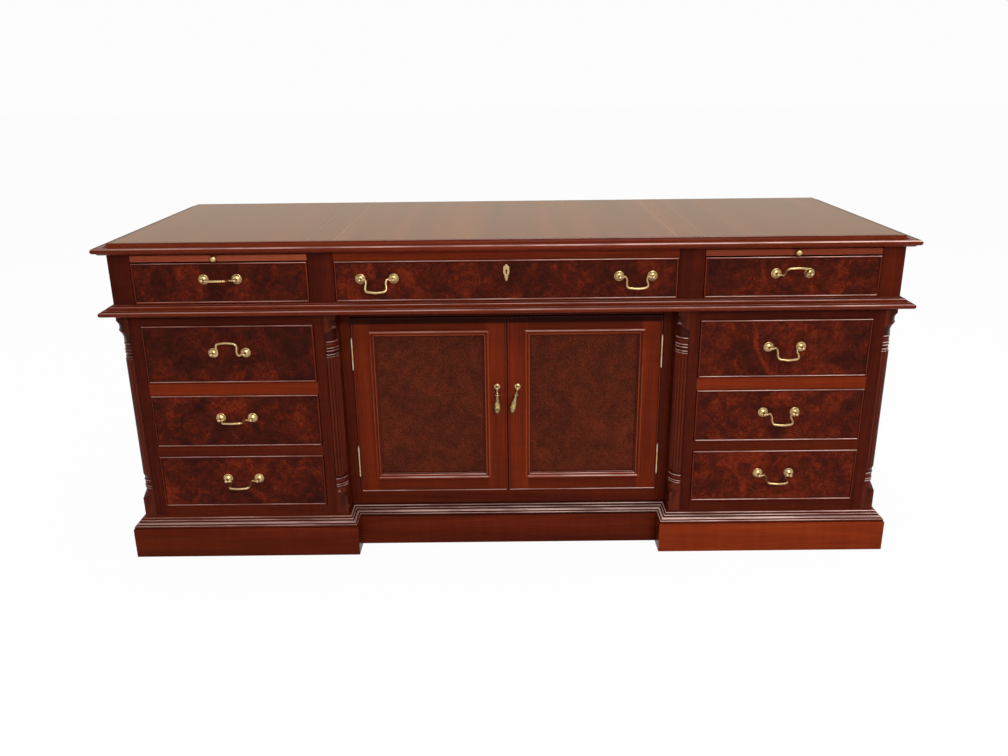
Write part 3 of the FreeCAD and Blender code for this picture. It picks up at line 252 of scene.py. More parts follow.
# %% Make nodes through one method
class Nodes:
    def __init__(self, tree, output):
        self.tree = tree
        self.tree.nodes.clear()
        self.out = self.tree.nodes.new(output)

    def show(self, shader):
        self.feed(self.out.inputs["Surface"], shader)

    def feed(self, socket, value):
        if isinstance(value, Signal):
            self.tree.links.new(value.socket, socket)
        else:
            socket.default_value = value

    def node(self, kind, settings, sockets, output=0):
        made = self.tree.nodes.new(kind)
        for name, value in settings.items():
            if name == "stops":
                self.set_stops(made.color_ramp, value)
            else:
                setattr(made, name, value)
        for name, value in sockets.items():
            self.feed(made.inputs[name], value)
        return Signal(self, made.outputs[output])

    def set_stops(self, ramp, stops):
        while len(ramp.elements) < len(stops):
            ramp.elements.new(0.5)
        for element, (place, colour) in zip(ramp.elements, stops):
            element.position = place
            element.color = colour

    def noise(self, where, scale, detail=3.0, rough=0.55, warp=0.0, output=0):
        sockets = {"Vector": where, "Scale": scale, "Detail": detail}
        sockets.update({"Roughness": rough, "Distortion": warp})
        return self.node("ShaderNodeTexNoise", {}, sockets, output)

    def streaks(self, where, scale, detail=3.0, rough=0.55, warp=0.0):
        """A noise that is stretched by a scale along each axis."""
        stretched = self.node("ShaderNodeMapping", {}, {"Vector": where, "Scale": scale})
        return self.noise(stretched, 1.0, detail, rough, warp)

    def ramp(self, value, *stops):
        return self.node("ShaderNodeValToRGB", {"stops": stops}, {"Fac": value})

    def blend(self, share, first, second):
        sockets = {"Factor": share, 6: first, 7: second}
        return self.node("ShaderNodeMix", {"data_type": "RGBA"}, sockets, output=2)

    def between(self, value, start, end):
        """0 below start, 1 above end, and a smooth rise from one to the other."""
        settings = {"interpolation_type": "SMOOTHSTEP", "clamp": True}
        sockets = {"Value": value, "From Min": start, "From Max": end}
        return self.node("ShaderNodeMapRange", settings, sockets)

    def object_place(self):
        return self.node("ShaderNodeTexCoord", {}, {}, "Object")

    def attribute(self, name, output="Fac"):
        return self.node("ShaderNodeAttribute", {"attribute_name": name}, {}, output)

    def ray(self, kind):
        """1 for light paths of one kind, such as Camera, and 0 for the others."""
        return self.node("ShaderNodeLightPath", {}, {}, f"Is {kind} Ray")


print("nodes come from one method")

# %% [markdown]
# A Finish is the tree of one material, with a Principled surface in it. What is the
# same all over is set on that surface by name. What varies is set from a signal.

# %% Start a finish
class Finish(Nodes):
    def __init__(self, name, **constants):
        self.material = bpy.data.materials.new(name)
        self.material.use_nodes = True
        super().__init__(self.material.node_tree, "ShaderNodeOutputMaterial")
        self.surface = self.tree.nodes.new("ShaderNodeBsdfPrincipled")
        self.show(Signal(self, self.surface.outputs[0]))
        for socket, value in constants.items():
            self.set(socket.replace("_", " "), value)

    def set(self, socket, value):
        self.feed(self.surface.inputs[socket], value)

    def relief(self, height, depth):
        """Height as a signal, and what a height of 1 is worth in millimetres."""
        sockets = {"Height": height, "Distance": depth * MM, "Strength": 1.0}
        self.set("Normal", self.node("ShaderNodeBump", {}, sockets))


def linear(share):
    return share / 12.92 if share <= 0.04045 else ((share + 0.055) / 1.055) ** 2.4


def colour(red, green, blue):
    """A colour as a screen shows it, 0 to 255, for a socket."""
    return (*(linear(part / 255) for part in (red, green, blue)), 1.0)


print("plain mahogany red is", [round(part, 3) for part in colour(112, 38, 20)])

# %% [markdown]
# Mahogany has broad soft streaks along the board, a fine ripple across it, and short
# open pores that a polisher never fills completely. All of them follow the grain
# attribute, and the shade attribute moves the whole board along the ramp from a dark
# stile to a light rail. The lacquer is a thin clear skin: a low index of refraction
# keeps the upright faces deep red. Crests are blended towards a pale pink, as wear and
# painted highlight, and quirks towards a dark brown, as painted shade. Beads and
# mouldings get a second finish with a stronger skin.

# %% Mahogany
REDS = (
    (0.0, colour(34, 9, 6)),
    (0.25, colour(64, 19, 9)),
    (0.5, colour(90, 30, 12)),
    (0.75, colour(120, 42, 16)),
    (1.0, colour(146, 60, 26)),
)
LIPPING_REDS = (
    (0.0, colour(96, 38, 24)),
    (0.5, colour(144, 68, 44)),
    (1.0, colour(184, 104, 74)),
)
PORE_BROWN = colour(30, 9, 6)
# The colour of painted shade, and the pale of a crest, which is wear and painted highlight.
PAINTED_SHADE_BROWN = colour(26, 7, 5)
PALE_WEAR_AND_HIGHLIGHT = colour(232, 194, 184)


def mahogany(name, reds, skin, roughness):
    finish = Finish(name, IOR=skin)
    place = finish.attribute("grain", "Vector")
    streaks = finish.streaks(place, (1.3, 26, 26), 4, warp=0.5)
    fibres = finish.streaks(place, (9, 480, 480))
    ripple = finish.streaks(place, (60, 9, 9), 2, 0.5, 0.4)
    pores = finish.streaks(place, (160, 2100, 2100), 1)
    tone = 0.25 + finish.attribute("shade") * 0.46 + (streaks - 0.5) * 0.6
    tone = tone + (fibres - 0.5) * 0.34 + (ripple - 0.5) * 0.14
    wood = finish.ramp(tone, *reds)
    open_pores = finish.between(pores, 0.62, 0.72)
    wood = finish.blend(open_pores * 0.4, wood, PORE_BROWN)
    # Quirks, corbels and door heads are darkened here as painted shade.
    wood = finish.blend(finish.attribute("hollow") * 0.7, wood, PAINTED_SHADE_BROWN)
    # Crests are paled here, in broken patches, as wear and painted highlight.
    patches = finish.between(finish.streaks(place, (7, 60, 60)), 0.36, 0.62)
    wear_and_highlight = finish.attribute("rubbed") * (0.35 + patches * 0.65)
    finish.set("Base Color", finish.blend(wear_and_highlight, wood, PALE_WEAR_AND_HIGHLIGHT))
    finish.set("Roughness", roughness + open_pores * 0.2 + fibres * 0.08)
    finish.relief(fibres * 0.2 - open_pores, 0.06)
    print(name, "has", len(finish.tree.nodes), "nodes")
    return finish.material


MAHOGANY = mahogany("lacquered_mahogany", REDS, 1.1, 0.2)
MOULDING_WOOD = mahogany("rubbed_mahogany", REDS, 1.16, 0.1)
LIPPING = mahogany("pale_mahogany", LIPPING_REDS, 1.1, 0.24)
DARK, MEDIUM = 0.0, 0.5

# %% [markdown]
# The insides of drawers and cases are plain hardwood with little polish, a paler
# brown than the show faces.

# %% Inside wood
INSIDE_BROWNS = (
    (0.3, colour(92, 58, 36)),
    (0.5, colour(124, 82, 52)),
    (0.72, colour(150, 106, 72)),
)


def inside_wood():
    finish = Finish("plain_hardwood", IOR=1.3)
    place = finish.attribute("grain", "Vector")
    streaks = finish.streaks(place, (2.2, 60, 60), 4, 0.6, 0.5)
    fibres = finish.streaks(place, (30, 900, 900), 2)
    tone = streaks + (fibres - 0.5) * 0.4
    finish.set("Base Color", finish.ramp(tone, *INSIDE_BROWNS))
    finish.set("Roughness", 0.52 + fibres * 0.16)
    finish.relief(fibres, 0.06)
    return finish.material


INSIDE_WOOD = inside_wood()
print("inside wood is paler and duller than the case")

# %% [markdown]
# Burr veneer is cut from a growth full of buds. Each bud leaves a dark speck with a
# swirl of grain round it, and between them the colour drifts from brown to orange.
# Warped cells give the specks and a warped cloud gives the drift.

# %% Burr veneer
BUD_SPACING = 7.5
BUD_WARP = 11
BUD_BROWN = colour(26, 8, 6)
DRAWER_BURR = (
    (0.36, colour(44, 13, 7)),
    (0.46, colour(58, 18, 9)),
    (0.54, colour(80, 24, 11)),
    (0.66, colour(116, 39, 17)),
)
DOOR_BURR = (
    (0.36, colour(42, 17, 9)),
    (0.46, colour(61, 24, 12)),
    (0.54, colour(82, 32, 16)),
    (0.66, colour(108, 43, 22)),
)


def burr(name, reds, figure, grain):
    """Figure sets how far the patches stray from the mean, and grain the fine flecks."""
    finish = Finish(name, IOR=1.12)
    place = finish.object_place()
    leaf = finish.noise(place, 2.7, 2)
    drift = finish.noise(place, 13.0, 3, 0.55, 1.2)
    swirl = finish.noise(place, 48.0, 5, 0.6, 1.1)
    fleck = finish.noise(place, 330.0, 2)
    push = finish.noise(place, 55.0, 2, 0.5, output="Color")
    sockets = {0: push, 1: (BUD_WARP * MM,) * 3, 2: place}
    pushed = finish.node("ShaderNodeVectorMath", {"operation": "MULTIPLY_ADD"}, sockets)
    sockets = {"Vector": pushed, "Scale": 1 / (BUD_SPACING * MM)}
    buds = finish.node("ShaderNodeTexVoronoi", {}, sockets)
    specks = 1 - finish.between(buds, 0.1, 0.3)
    crowd = finish.between(finish.noise(place, 17.0, 2), 0.42, 0.6)
    patches = leaf * 0.18 + drift * 0.46 + swirl * 0.36 - 0.5
    tone = 0.49 + patches * figure + (fleck - 0.5) * grain
    wood = finish.ramp(tone + finish.attribute("shade") * 0.1, *reds)
    dark = specks * (0.3 + crowd * 0.45)
    finish.set("Base Color", finish.blend(dark, wood, BUD_BROWN))
    finish.set("Roughness", 0.18 + swirl * 0.1)
    finish.relief(swirl * 0.5 - specks * 0.4, 0.04)
    return finish.material


BURR = burr("burr_veneer", DRAWER_BURR, 0.98, 0.27)
PLAIN_BURR = burr("plain_burr_veneer", DOOR_BURR, 0.5, 0.4)
print("buds about", BUD_SPACING, "mm apart")

# %% [markdown]
# The desktop is veneered with its grain from front to back. Pairs of thin light
# lines of inlay divide it above the pedestals, and one more follows the moulding.

# %% Desktop veneer
INLAY_X = (386, 450)
INLAY_EDGE_X = 889
INLAY_EDGE_Y = (-309, 319)
INLAY_WIDTH = 1.6
INLAY_PALE = colour(200, 152, 98)
DESKTOP_BROWNS = (
    (0.25, colour(110, 58, 32)),
    (0.5, colour(126, 72, 42)),
    (0.75, colour(142, 86, 52)),
)


def inlay_lines(finish, place):
    """1 on a line of inlay, 0 between the lines, with soft edges."""
    x, y = (finish.node("ShaderNodeSeparateXYZ", {}, {0: place}, axis) for axis in "XY")
    from_middle = abs(x)
    spots = [(from_middle, spot) for spot in (*INLAY_X, INLAY_EDGE_X)]
    spots += [(y, spot) for spot in INLAY_EDGE_Y]
    half = INLAY_WIDTH * 0.5 * MM
    lines = None
    for value, spot in spots:
        line = 1 - finish.between(abs(value - spot * MM), half * 0.7, half * 1.3)
        lines = line if lines is None else lines.larger(line)
    return lines


def desktop_finish():
    finish = Finish("desktop_veneer", IOR=1.2)
    place = finish.object_place()
    streaks = finish.streaks(place, (15, 0.5, 15), 4, warp=0.4)
    fibres = finish.streaks(place, (420, 9, 420), 2)
    wood = finish.ramp(streaks + (fibres - 0.5) * 0.25, *DESKTOP_BROWNS)
    lines = inlay_lines(finish, place)
    finish.set("Base Color", finish.blend(lines * 0.33, wood, INLAY_PALE))
    finish.set("Roughness", 0.14 + streaks * 0.08)
    finish.relief(fibres * 0.3, 0.05)
    return finish.material


DESKTOP_WOOD = desktop_finish()
print("inlay at", INLAY_X, "mm from the middle")

# %% [markdown]
# The handles are cast and turned brass that has aged: gold where hands rub it,
# brown in the hollows. A slow noise moves the colour and the gloss together.

# %% Brass
def brass(name, bright, worn, share):
    """Share is the height of the cloud at which the worn colour starts."""
    finish = Finish(name, Metallic=1.0)
    place = finish.object_place()
    cloud = finish.noise(place, 110.0, 4, 0.6, 0.6)
    grit = finish.noise(place, 900.0, 2)
    aged = finish.between(cloud + (grit - 0.5) * 0.15, share, share + 0.3)
    finish.set("Base Color", finish.blend(aged, bright, worn))
    finish.set("Roughness", 0.29 + aged * 0.15)
    finish.relief(cloud + grit * 0.1, 0.03)
    return finish.material


HANDLE_BRASS = brass("antique_brass", colour(200, 170, 118), colour(140, 110, 70), 0.5)
DARK_BRASS = brass("dark_brass", colour(176, 150, 104), colour(84, 64, 38), 0.42)
HINGE_BRASS = brass("pale_brass", colour(214, 188, 156), colour(146, 116, 84), 0.5)
print("three kinds of brass")

# %% [markdown]
# A board starts as a cube, is stretched to its size and has its arrises taken off
# with a small bevel, as a cabinet maker does with one stroke of a plane.

# %% Boards
def ease(bm, size, above=30):
    """Bevels every edge that turns by more than an angle in degrees."""
    limit = math.radians(above)
    sharp = [edge for edge in bm.edges if edge.calc_face_angle(0) > limit]
    bmesh.ops.bevel(
        bm,
        geom=sharp,
        offset=size * MM,
        offset_type="OFFSET",
        segments=2,
        profile=0.5,
        affect="EDGES",
        material=-1,
        clamp_overlap=True,
    )


ARRIS = 0.6
SHIFT_PER_MM = 0.0013


def board(x, y, z, arris=ARRIS, along=None, shade=DARK):
    """A board between a pair of ends on each axis."""
    bm = bmesh.new()
    size = [ends[1] - ends[0] for ends in (x, y, z)]
    middle = [sum(ends) * 0.5 for ends in (x, y, z)]
    bmesh.ops.create_cube(bm, size=1)
    stretched = Matrix.Diagonal((*(part * MM for part in size), 1))
    put(bm, moved(*middle) @ stretched)
    ease(bm, arris)
    along = longest_axis(size) if along is None else along
    lay_grain(bm, along, sum(middle) * SHIFT_PER_MM, shade)
    return bm


print("a board is eased by", ARRIS, "mm")

# %% [markdown]
# The frames, ends and boxes keep the shapes that the CAD model has, so their boards
# are copied. A CAD node's mesh holds several closed solids as loose triangles. They
# are told apart by walking the faces: a solid is complete when every edge met so far
# has been met twice.

# %% Boards copied from the frame
def closed_solids(mesh):
    """Face numbers of each closed solid in a CAD node's loose triangles."""
    corners = [tuple(round(part * 1e5) for part in vert.co) for vert in mesh.vertices]
    unpaired, faces, solids = set(), [], []
    for face in mesh.polygons:
        faces.append(face.index)
        ring = [corners[index] for index in face.vertices]
        for pair in zip(ring, ring[1:] + ring[:1]):
            unpaired ^= {frozenset(pair)}
        if not unpaired:
            solids.append(faces)
            faces = []
    return solids


def one_solid(source, solid):
    """A solid of a CAD node, its triangles merged into whole faces."""
    bm = bmesh.new()
    bm.from_mesh(source)
    bm.faces.ensure_lookup_table()
    kept = {bm.faces[index] for index in solid}
    others = [face for face in bm.faces if face not in kept]
    bmesh.ops.delete(bm, geom=others, context="FACES")
    bmesh.ops.remove_doubles(bm, verts=bm.verts, dist=WELD)
    limit = math.radians(1)
    bmesh.ops.dissolve_limit(bm, angle_limit=limit, verts=bm.verts, edges=bm.edges)
    return bm


BACK_FROM = 200
BACK_SHADE = 0.4
# Each pair is a height and the shade of the rails below it. The darkest row, the rails just
# under the waist, is painted shadow of the waist.
RAIL_SHADES = ((350, 0.25), (500, 0.8), (620, 0.0), (1000, 0.75))


def shade_of(number, longest, lows, highs):
    """Rails are lighter in some rows than in others, and the other boards are dark."""
    if lows[AXIS_Y] > BACK_FROM * MM:
        return BACK_SHADE
    if longest == AXIS_X:
        middle = (lows[AXIS_Z] + highs[AXIS_Z]) * 0.5
        return next(shade for top, shade in RAIL_SHADES if middle < top * MM)
    return 0.1 * (number % 3)


MOST_PLAIN_FACES = 9
SHIFT_PER_BOARD = 0.31


def boards_from(node):
    """A copy of a CAD node's boards with eased edges. A plain one is grained along its
    length, and one with mouldings along each of them."""
    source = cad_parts[node].data
    boards = bmesh.new()
    for number, solid in enumerate(closed_solids(source)):
        bm = one_solid(source, solid)
        plain = len(bm.faces) <= MOST_PLAIN_FACES
        ease(bm, ARRIS)
        lows = [min(vert.co[axis] for vert in bm.verts) for axis in range(3)]
        highs = [max(vert.co[axis] for vert in bm.verts) for axis in range(3)]
        size = [top - bottom for top, bottom in zip(highs, lows)]
        longest = longest_axis(size)
        shade = shade_of(number, longest, lows, highs)
        lay_grain(bm, longest if plain else None, number * SHIFT_PER_BOARD, shade)
        add(boards, bm)
    return boards


print("back boards start", BACK_FROM, "mm behind the middle")

# %% [markdown]
# A moulding is one section run along a path and mitred at the corners. The section is
# a wire whose corners are rounded with a vertex bevel, and each mitre is a frame: the
# section's outward axis points along the mitre and is longer by just as much as the
# cut is. Extruding the wire from frame to frame gives the whole run.

# %% Mouldings
def fill_holes(bm):
    open_edges = [edge for edge in bm.edges if edge.is_boundary]
    bmesh.ops.holes_fill(bm, edges=open_edges, sides=0)


def section_wire(bm, points, closed=True, segments=6):
    """Points are (outwards, up, how far the corner is rounded) in millimetres."""
    verts = [bm.verts.new((point[0] * MM, 0, point[1] * MM)) for point in points]
    ends = verts[1:] + (verts[:1] if closed else [])
    for start, end in zip(verts, ends):
        bm.edges.new((start, end))
    for vert, point in zip(verts, points):
        if len(point) > 2:
            bmesh.ops.bevel(
                bm,
                geom=[vert],
                offset=point[2] * MM,
                offset_type="OFFSET",
                segments=segments,
                profile=0.5,
                affect="VERTICES",
                material=-1,
                clamp_overlap=False,
            )


def run(bm, frames):
    """Extrudes the wires in bm, drawn in the XZ plane, through each frame in turn."""
    put(bm, frames[0])
    edges = bm.edges[:]
    for before, after in zip(frames, frames[1:]):
        made = bmesh.ops.extrude_edge_only(bm, edges=edges)["geom"]
        edges = [item for item in made if isinstance(item, bmesh.types.BMEdge)]
        verts = [item for item in made if isinstance(item, bmesh.types.BMVert)]
        bmesh.ops.transform(bm, matrix=after @ before.inverted(), verts=verts)
    bmesh.ops.remove_doubles(bm, verts=bm.verts, dist=WELD)


def mitre_frames(corners, z):
    """Frames at the corners of a closed path, counter-clockwise from above."""
    points = [Vector((x, y, 0)) for x, y in corners]
    frames = []
    for index, corner in enumerate(points):
        into = (corner - points[index - 1]).normalized()
        out = (points[(index + 1) % len(points)] - corner).normalized()
        sides = [Vector((way.y, -way.x, 0)) for way in (into, out)]
        mitre = (sides[0] + sides[1]) / (1 + sides[0].dot(sides[1]))
        along = (into + out).normalized()
        axes = Matrix((mitre, along, (0, 0, 1))).transposed().to_4x4()
        frames.append(moved(corner.x, corner.y, z) @ axes)
    return [*frames, frames[0]]


def rectangle(x, y):
    return [(x[0], y[0]), (x[1], y[0]), (x[1], y[1]), (x[0], y[1])]


def moulding(corners, section, z=0):
    bm = bmesh.new()
    section_wire(bm, section)
    run(bm, mitre_frames(corners, z))
    bmesh.ops.recalc_face_normals(bm, faces=bm.faces)
    return bm


def facing_front(bm, y):
    """Stands a frame drawn flat upright, its face towards the front."""
    return put(bm, moved(0, y, 0) @ FACING_FRONT)


print("mouldings: rounded wires and mitre frames")

# %% [markdown]
# The desktop is a slab with a mitred border: a fillet and a long cove above, a
# bullnose at the widest line and a small cove below. The section is closed and runs
# round like a picture frame. The field inside it is a board and a piece of its own,
# because its veneer and its grain differ from those of the border.

# %% Desktop
SLAB_Z = 755.5
TOP_X = (-895, 895)
TOP_Y = (-315, 325)
FIELD_IN = 5.8
TOP_EDGE = (
    # the fillet and the cove
    (2.1, 24.5, 0.8), (2.1, 21.6, 0.5), (8.5, 16.6, 4.0), (21.0, 16.0, 0.4), (22.6, 14.4, 0.6),
    # the bullnose
    (24.0, 16.4, 0.4), (30.0, 16.4, 5.9), (30.0, 3.9, 5.9), (21.4, 3.9, 0.6),
    # the small cove, and back under the field
    (20.6, 2.4, 0.6), (17.4, 0.0, 0.5), (-6.0, 0.0), (-6.0, 24.5),
)
border = moulding(rectangle(TOP_X, TOP_Y), TOP_EDGE, SLAB_Z)
lay_grain(border, shade=0.7)
wear_and_painted_light(border)
piece("desktop_border", border, "desk", ["desktop"], MOULDING_WOOD)

field_x, field_y = inset(TOP_X, FIELD_IN), inset(TOP_Y, FIELD_IN)
field_z = (SLAB_Z + 0.05, TOP_Z - 0.02)
field = board(field_x, field_y, field_z, 0.1, along=AXIS_Y)
piece("desktop_field", field, "desk", ["desktop"], DESKTOP_WOOD)

# %% [markdown]
# The waist moulding hides the joint between the frieze and the pedestals: a bullnose
# below, a fillet, and a long ogee that climbs back to the frieze.

# %% Waist moulding
WAIST_Z = 615
CARCASS = rectangle((-HALF_WIDTH, HALF_WIDTH), (FRONT_Y, BACK_Y))
WAIST = (
    # the bullnose
    (-2.0, 0.0), (28.0, 0.0, 5.8), (28.0, 11.8, 5.8), (20.9, 11.8, 0.5),
    # the fillet and the ogee
    (20.7, 13.8, 0.5), (12.5, 14.6, 5.0), (9.5, 21.4, 4.0), (3.4, 21.9, 0.3),
    (3.4, 23.5, 0.5), (-2.0, 23.5),
)
waist = moulding(CARCASS, WAIST, WAIST_Z)
lay_grain(waist, shift=0.7, shade=0.65)
wear_and_painted_light(waist, share=0.74)
piece("waist_run", waist, "desk", ["waist_moulding"], MOULDING_WOOD)

# %% [markdown]
# The plinth steps back with the cupboard, which makes the front a breakfront. Its
# board is capped with a bead, a cove and two small steps, mitred at eight corners.
# Under the right pedestal its board is painted lighter, as painted light from that side.

# %% Plinth
PLINTH_BOARD = (
    (-22.0, 0.0, 0.5), (25.0, 0.0, 1.0), (25.0, 76.0, 1.2), (-22.0, 76.0, 0.5),
)
PLINTH_CAP = (
    # the bead
    (-22.0, 76.0, 0.5), (21.4, 76.0, 0.4), (22.4, 77.6, 0.8), (22.4, 82.4, 1.8),
    # the cove and the two steps
    (18.6, 84.4, 0.5), (17.6, 88.8, 3.2), (12.0, 89.4, 0.6), (11.6, 93.4, 1.6),
    (7.8, 94.2, 0.5), (7.2, 98.6, 1.5), (1.0, 101.0, 0.5), (0.0, 102.0), (-22.0, 102.0, 0.5),
)
PEDESTAL_X = 396
PLINTH_PATH = [
    (-HALF_WIDTH, FRONT_Y),
    (-PEDESTAL_X, FRONT_Y),
    (-PEDESTAL_X, CUPBOARD_Y),
    (PEDESTAL_X, CUPBOARD_Y),
    (PEDESTAL_X, FRONT_Y),
    (HALF_WIDTH, FRONT_Y),
    (HALF_WIDTH, BACK_Y),
    (-HALF_WIDTH, BACK_Y),
]
RIGHT_PLINTH_PAINTED_LIGHT = 1.1
CAP_TILT = (0.3, 0.995)
plinth = moulding(PLINTH_PATH, PLINTH_BOARD)
lay_grain(plinth, shift=1.9, shade=0.35)
plinth_shade = wood_layers(plinth)[1]
# Painted light: the board under the right pedestal is made lighter.
for face in plinth.faces:
    if face.calc_center_median().x > PEDESTAL_X * MM:
        for loop in face.loops:
            loop[plinth_shade] = RIGHT_PLINTH_PAINTED_LIGHT
piece("plinth_board", plinth, "desk", ["plinth_base"], MAHOGANY)
cap = moulding(PLINTH_PATH, PLINTH_CAP)
lay_grain(cap, shift=2.6, shade=0.3)
wear_and_painted_light(cap, CAP_TILT, 1.06)
piece("plinth_cap", cap, "desk", ["plinth_base"], MOULDING_WOOD)

# %% [markdown]
# Frames, ends, backs, runners and guides keep the shapes of the frame's own boards.
# They are copied board by board, so that each gets eased edges and its own grain.

# %% Cases
for node in (
    "frieze_case",
    "left_pedestal_case",
    "right_pedestal_case",
    "cupboard_case",
    "cupboard_shelf",
):
    boards = boards_from(node)
    piece(f"{node}_boards", boards, "desk", [node], MAHOGANY)

# %% [markdown]
# A quarter column fills each front corner of the pedestals. It is turned: a wedge of
# the profile is spun through ninety degrees and clipped to the square of the post,
# which leaves the corbel above and the pointed stop below. Five reeds are spun rods
# with round ends, set round the core.

# %% Turning
def spin(bm, angle=math.tau, steps=24):
    """Spins everything in bm round Z. A full turn closes on itself, and a part of one
    has its ends filled."""
    full = angle == math.tau
    bmesh.ops.spin(
        bm,
        geom=bm.verts[:] + bm.edges[:],
        cent=(0, 0, 0),
        axis=(0, 0, 1),
        dvec=(0, 0, 0),
        angle=angle,
        steps=steps,
        use_merge=full,
        use_duplicate=False,
    )
    bmesh.ops.remove_doubles(bm, verts=bm.verts, dist=WELD)
    if not full:
        fill_holes(bm)
    bmesh.ops.recalc_face_normals(bm, faces=bm.faces)
    return bm


def turned(profile, angle=math.tau, steps=24):
    """A turning from a profile of (radius, height)."""
    bm = bmesh.new()
    verts = [bm.verts.new((radius * MM, 0, z * MM)) for radius, z in profile]
    for pair in zip(verts, verts[1:]):
        bm.edges.new(pair)
    if angle != math.tau:
        bm.edges.new((verts[-1], verts[0]))
    return spin(bm, angle, steps)


def cut(bm, point, normal, clear=False):
    """Cuts bm with a plane, and clears away what lies beyond it if asked."""
    bmesh.ops.bisect_plane(
        bm,
        geom=bm.verts[:] + bm.edges[:] + bm.faces[:],
        dist=1e-7,
        plane_co=point,
        plane_no=normal,
        clear_outer=clear,
    )


print("turnings are spun from profiles of radius and height")

# %% Corner columns
POST = 27
CORNER_RADIUS = POST * 1.43
REED_RADIUS = 3.7
REED_CIRCLE = 23.3
REED_COUNT = 5
REED_ENDS = (206, 509)


def ring(crest, radius, shoulder=1.2):
    """A turned ring, in millimetres. It falls away faster below its crest than above."""
    return (radius - shoulder, crest - 1.4), (radius, crest), (radius - 1.0, crest + 1.9)


COLUMN = (
    # the pointed stop and its neck
    (0, 102), (CORNER_RADIUS, 102), (CORNER_RADIUS, 149),
    (32.0, 154), (27.4, 161), (24.0, 169), (22.8, 171.8),
    # the lower rings
    *ring(174.0, 26.2), (23.0, 176.8), (23.0, 177.6), *ring(179.8, 26.4),
    (23.2, 182.8), (24.6, 184.6), (25.2, 187.4), (24.6, 190.2), (22.8, 192.0),
    *ring(194.3, 26.3, 1.3), (22.8, 197.4), (23.0, 205.4),
    # the shaft, then the upper rings
    (23.0, 509.6), *ring(512.0, 26.2), (23.0, 515.0), (23.0, 518.6),
    *ring(521.2, 26.4), (23.4, 524.2), (23.4, 525.4), *ring(528.0, 26.4),
    (23.2, 531.2), (24.4, 533.6), (24.8, 536.4), (24.2, 539.0), (22.8, 540.6),
    *ring(543.2, 26.1, 1.1), (22.8, 546.4),
    # the corbel, with a nib on its way out to the square
    (23.2, 553), (24.6, 560), (27.4, 567), (30.4, 572), (32.6, 575),
    (33.2, 577.4), (32.0, 579.8), (30.6, 582), (31.2, 588), (33.6, 595),
    (CORNER_RADIUS, 600), (CORNER_RADIUS, WAIST_Z), (0, WAIST_Z),
)


def reed():
    bottom, top = REED_ENDS
    r = REED_RADIUS
    round_end = [(0, 0), (0.38, 0.08), (0.71, 0.29), (0.92, 0.62), (1, 1)]
    lower = [(r * out, bottom + r * up) for out, up in round_end]
    upper = [(r * out, top - r * up) for out, up in reversed(round_end)]
    return turned(lower + upper, steps=12)


def column():
    """A column whose post has its inner corner at the origin, and its face at -Y."""
    bm = turned(COLUMN, math.radians(90), 20)
    put(bm, Matrix.Rotation(math.pi, 4, "Z"))
    for normal in ((-1, 0, 0), (0, -1, 0)):
        cut(bm, Vector(normal) * POST * MM, normal, clear=True)
        fill_holes(bm)
    bmesh.ops.recalc_face_normals(bm, faces=bm.faces)
    for number in range(REED_COUNT):
        angle = math.pi + math.radians(90) * (number + 0.5) / REED_COUNT
        x, y = REED_CIRCLE * math.cos(angle), REED_CIRCLE * math.sin(angle)
        add(bm, put(reed(), moved(x, y, 0)))
    return bm


# %% [markdown]
# The corbels get painted shade, darkest where they face down, and keep less of the
# pale crest mark. The flat faces of the post stay as they are.

# %% Place the columns
COLUMN_X = {-873: 0, -423: 90, 423: 0, 873: 90}
COLUMN_Y = -293
RING_TILT = (0.42, 0.54)
CORBEL_FROM = 548
CORBEL_PAINTED_SHADE = 0.8
CORBEL_UNDERSIDE_SHADE = 0.5
CORBEL_CREST_SHARE = 0.4


def paint_shade_on_corbels(bm):
    _, _, rubbed, hollow = wood_layers(bm)
    for face in bm.faces:
        is_turned = max(abs(face.normal.x), abs(face.normal.y)) < 0.999
        for loop in face.loops:
            if is_turned and loop.vert.co.z > CORBEL_FROM * MM:
                facing_up = loop.vert.normal.z
                # Painted shade, darker as the face turns down.
                loop[hollow] = CORBEL_PAINTED_SHADE - facing_up * CORBEL_UNDERSIDE_SHADE
                loop[rubbed] *= CORBEL_CREST_SHARE


columns = bmesh.new()
for x, turn in COLUMN_X.items():
    facing = Matrix.Rotation(math.radians(turn), 4, "Z")
    add(columns, put(column(), moved(x, COLUMN_Y, 0) @ facing))
lay_grain(columns, AXIS_Z, shade=0.4)
wear_and_painted_light(columns, RING_TILT, 0.7)
paint_shade_on_corbels(columns)
piece("reeded_columns", columns, "desk", ["corner_columns"], MOULDING_WOOD)

# %% [markdown]
# A drawer front is a board of burr veneer with a cock bead let into its edges: a thin
# strip of mahogany that stands a little proud and catches the light.

# %% Drawer fronts and boxes
FRONT_THICK = 20
BEAD = 4.5
BEAD_OUT = 2.5
BEAD_TILT = (0.25, 0.92)
BEAD_SHIFT_PER_MM = 0.003
VENEER_FIT = 0.15


def cock_bead(x, z, y):
    """A bead round the inside of a rectangle, in front of y."""
    section = (
        (0.0, -3.0),
        (0.0, BEAD_OUT, 1.9),
        (-BEAD, BEAD_OUT, 1.9),
        (-BEAD, -3.0),
    )
    bm = facing_front(moulding(rectangle(x, z), section), y)
    lay_grain(bm, shift=x[0] * BEAD_SHIFT_PER_MM, shade=0.7)
    wear_and_painted_light(bm, BEAD_TILT, 1.2)
    return bm


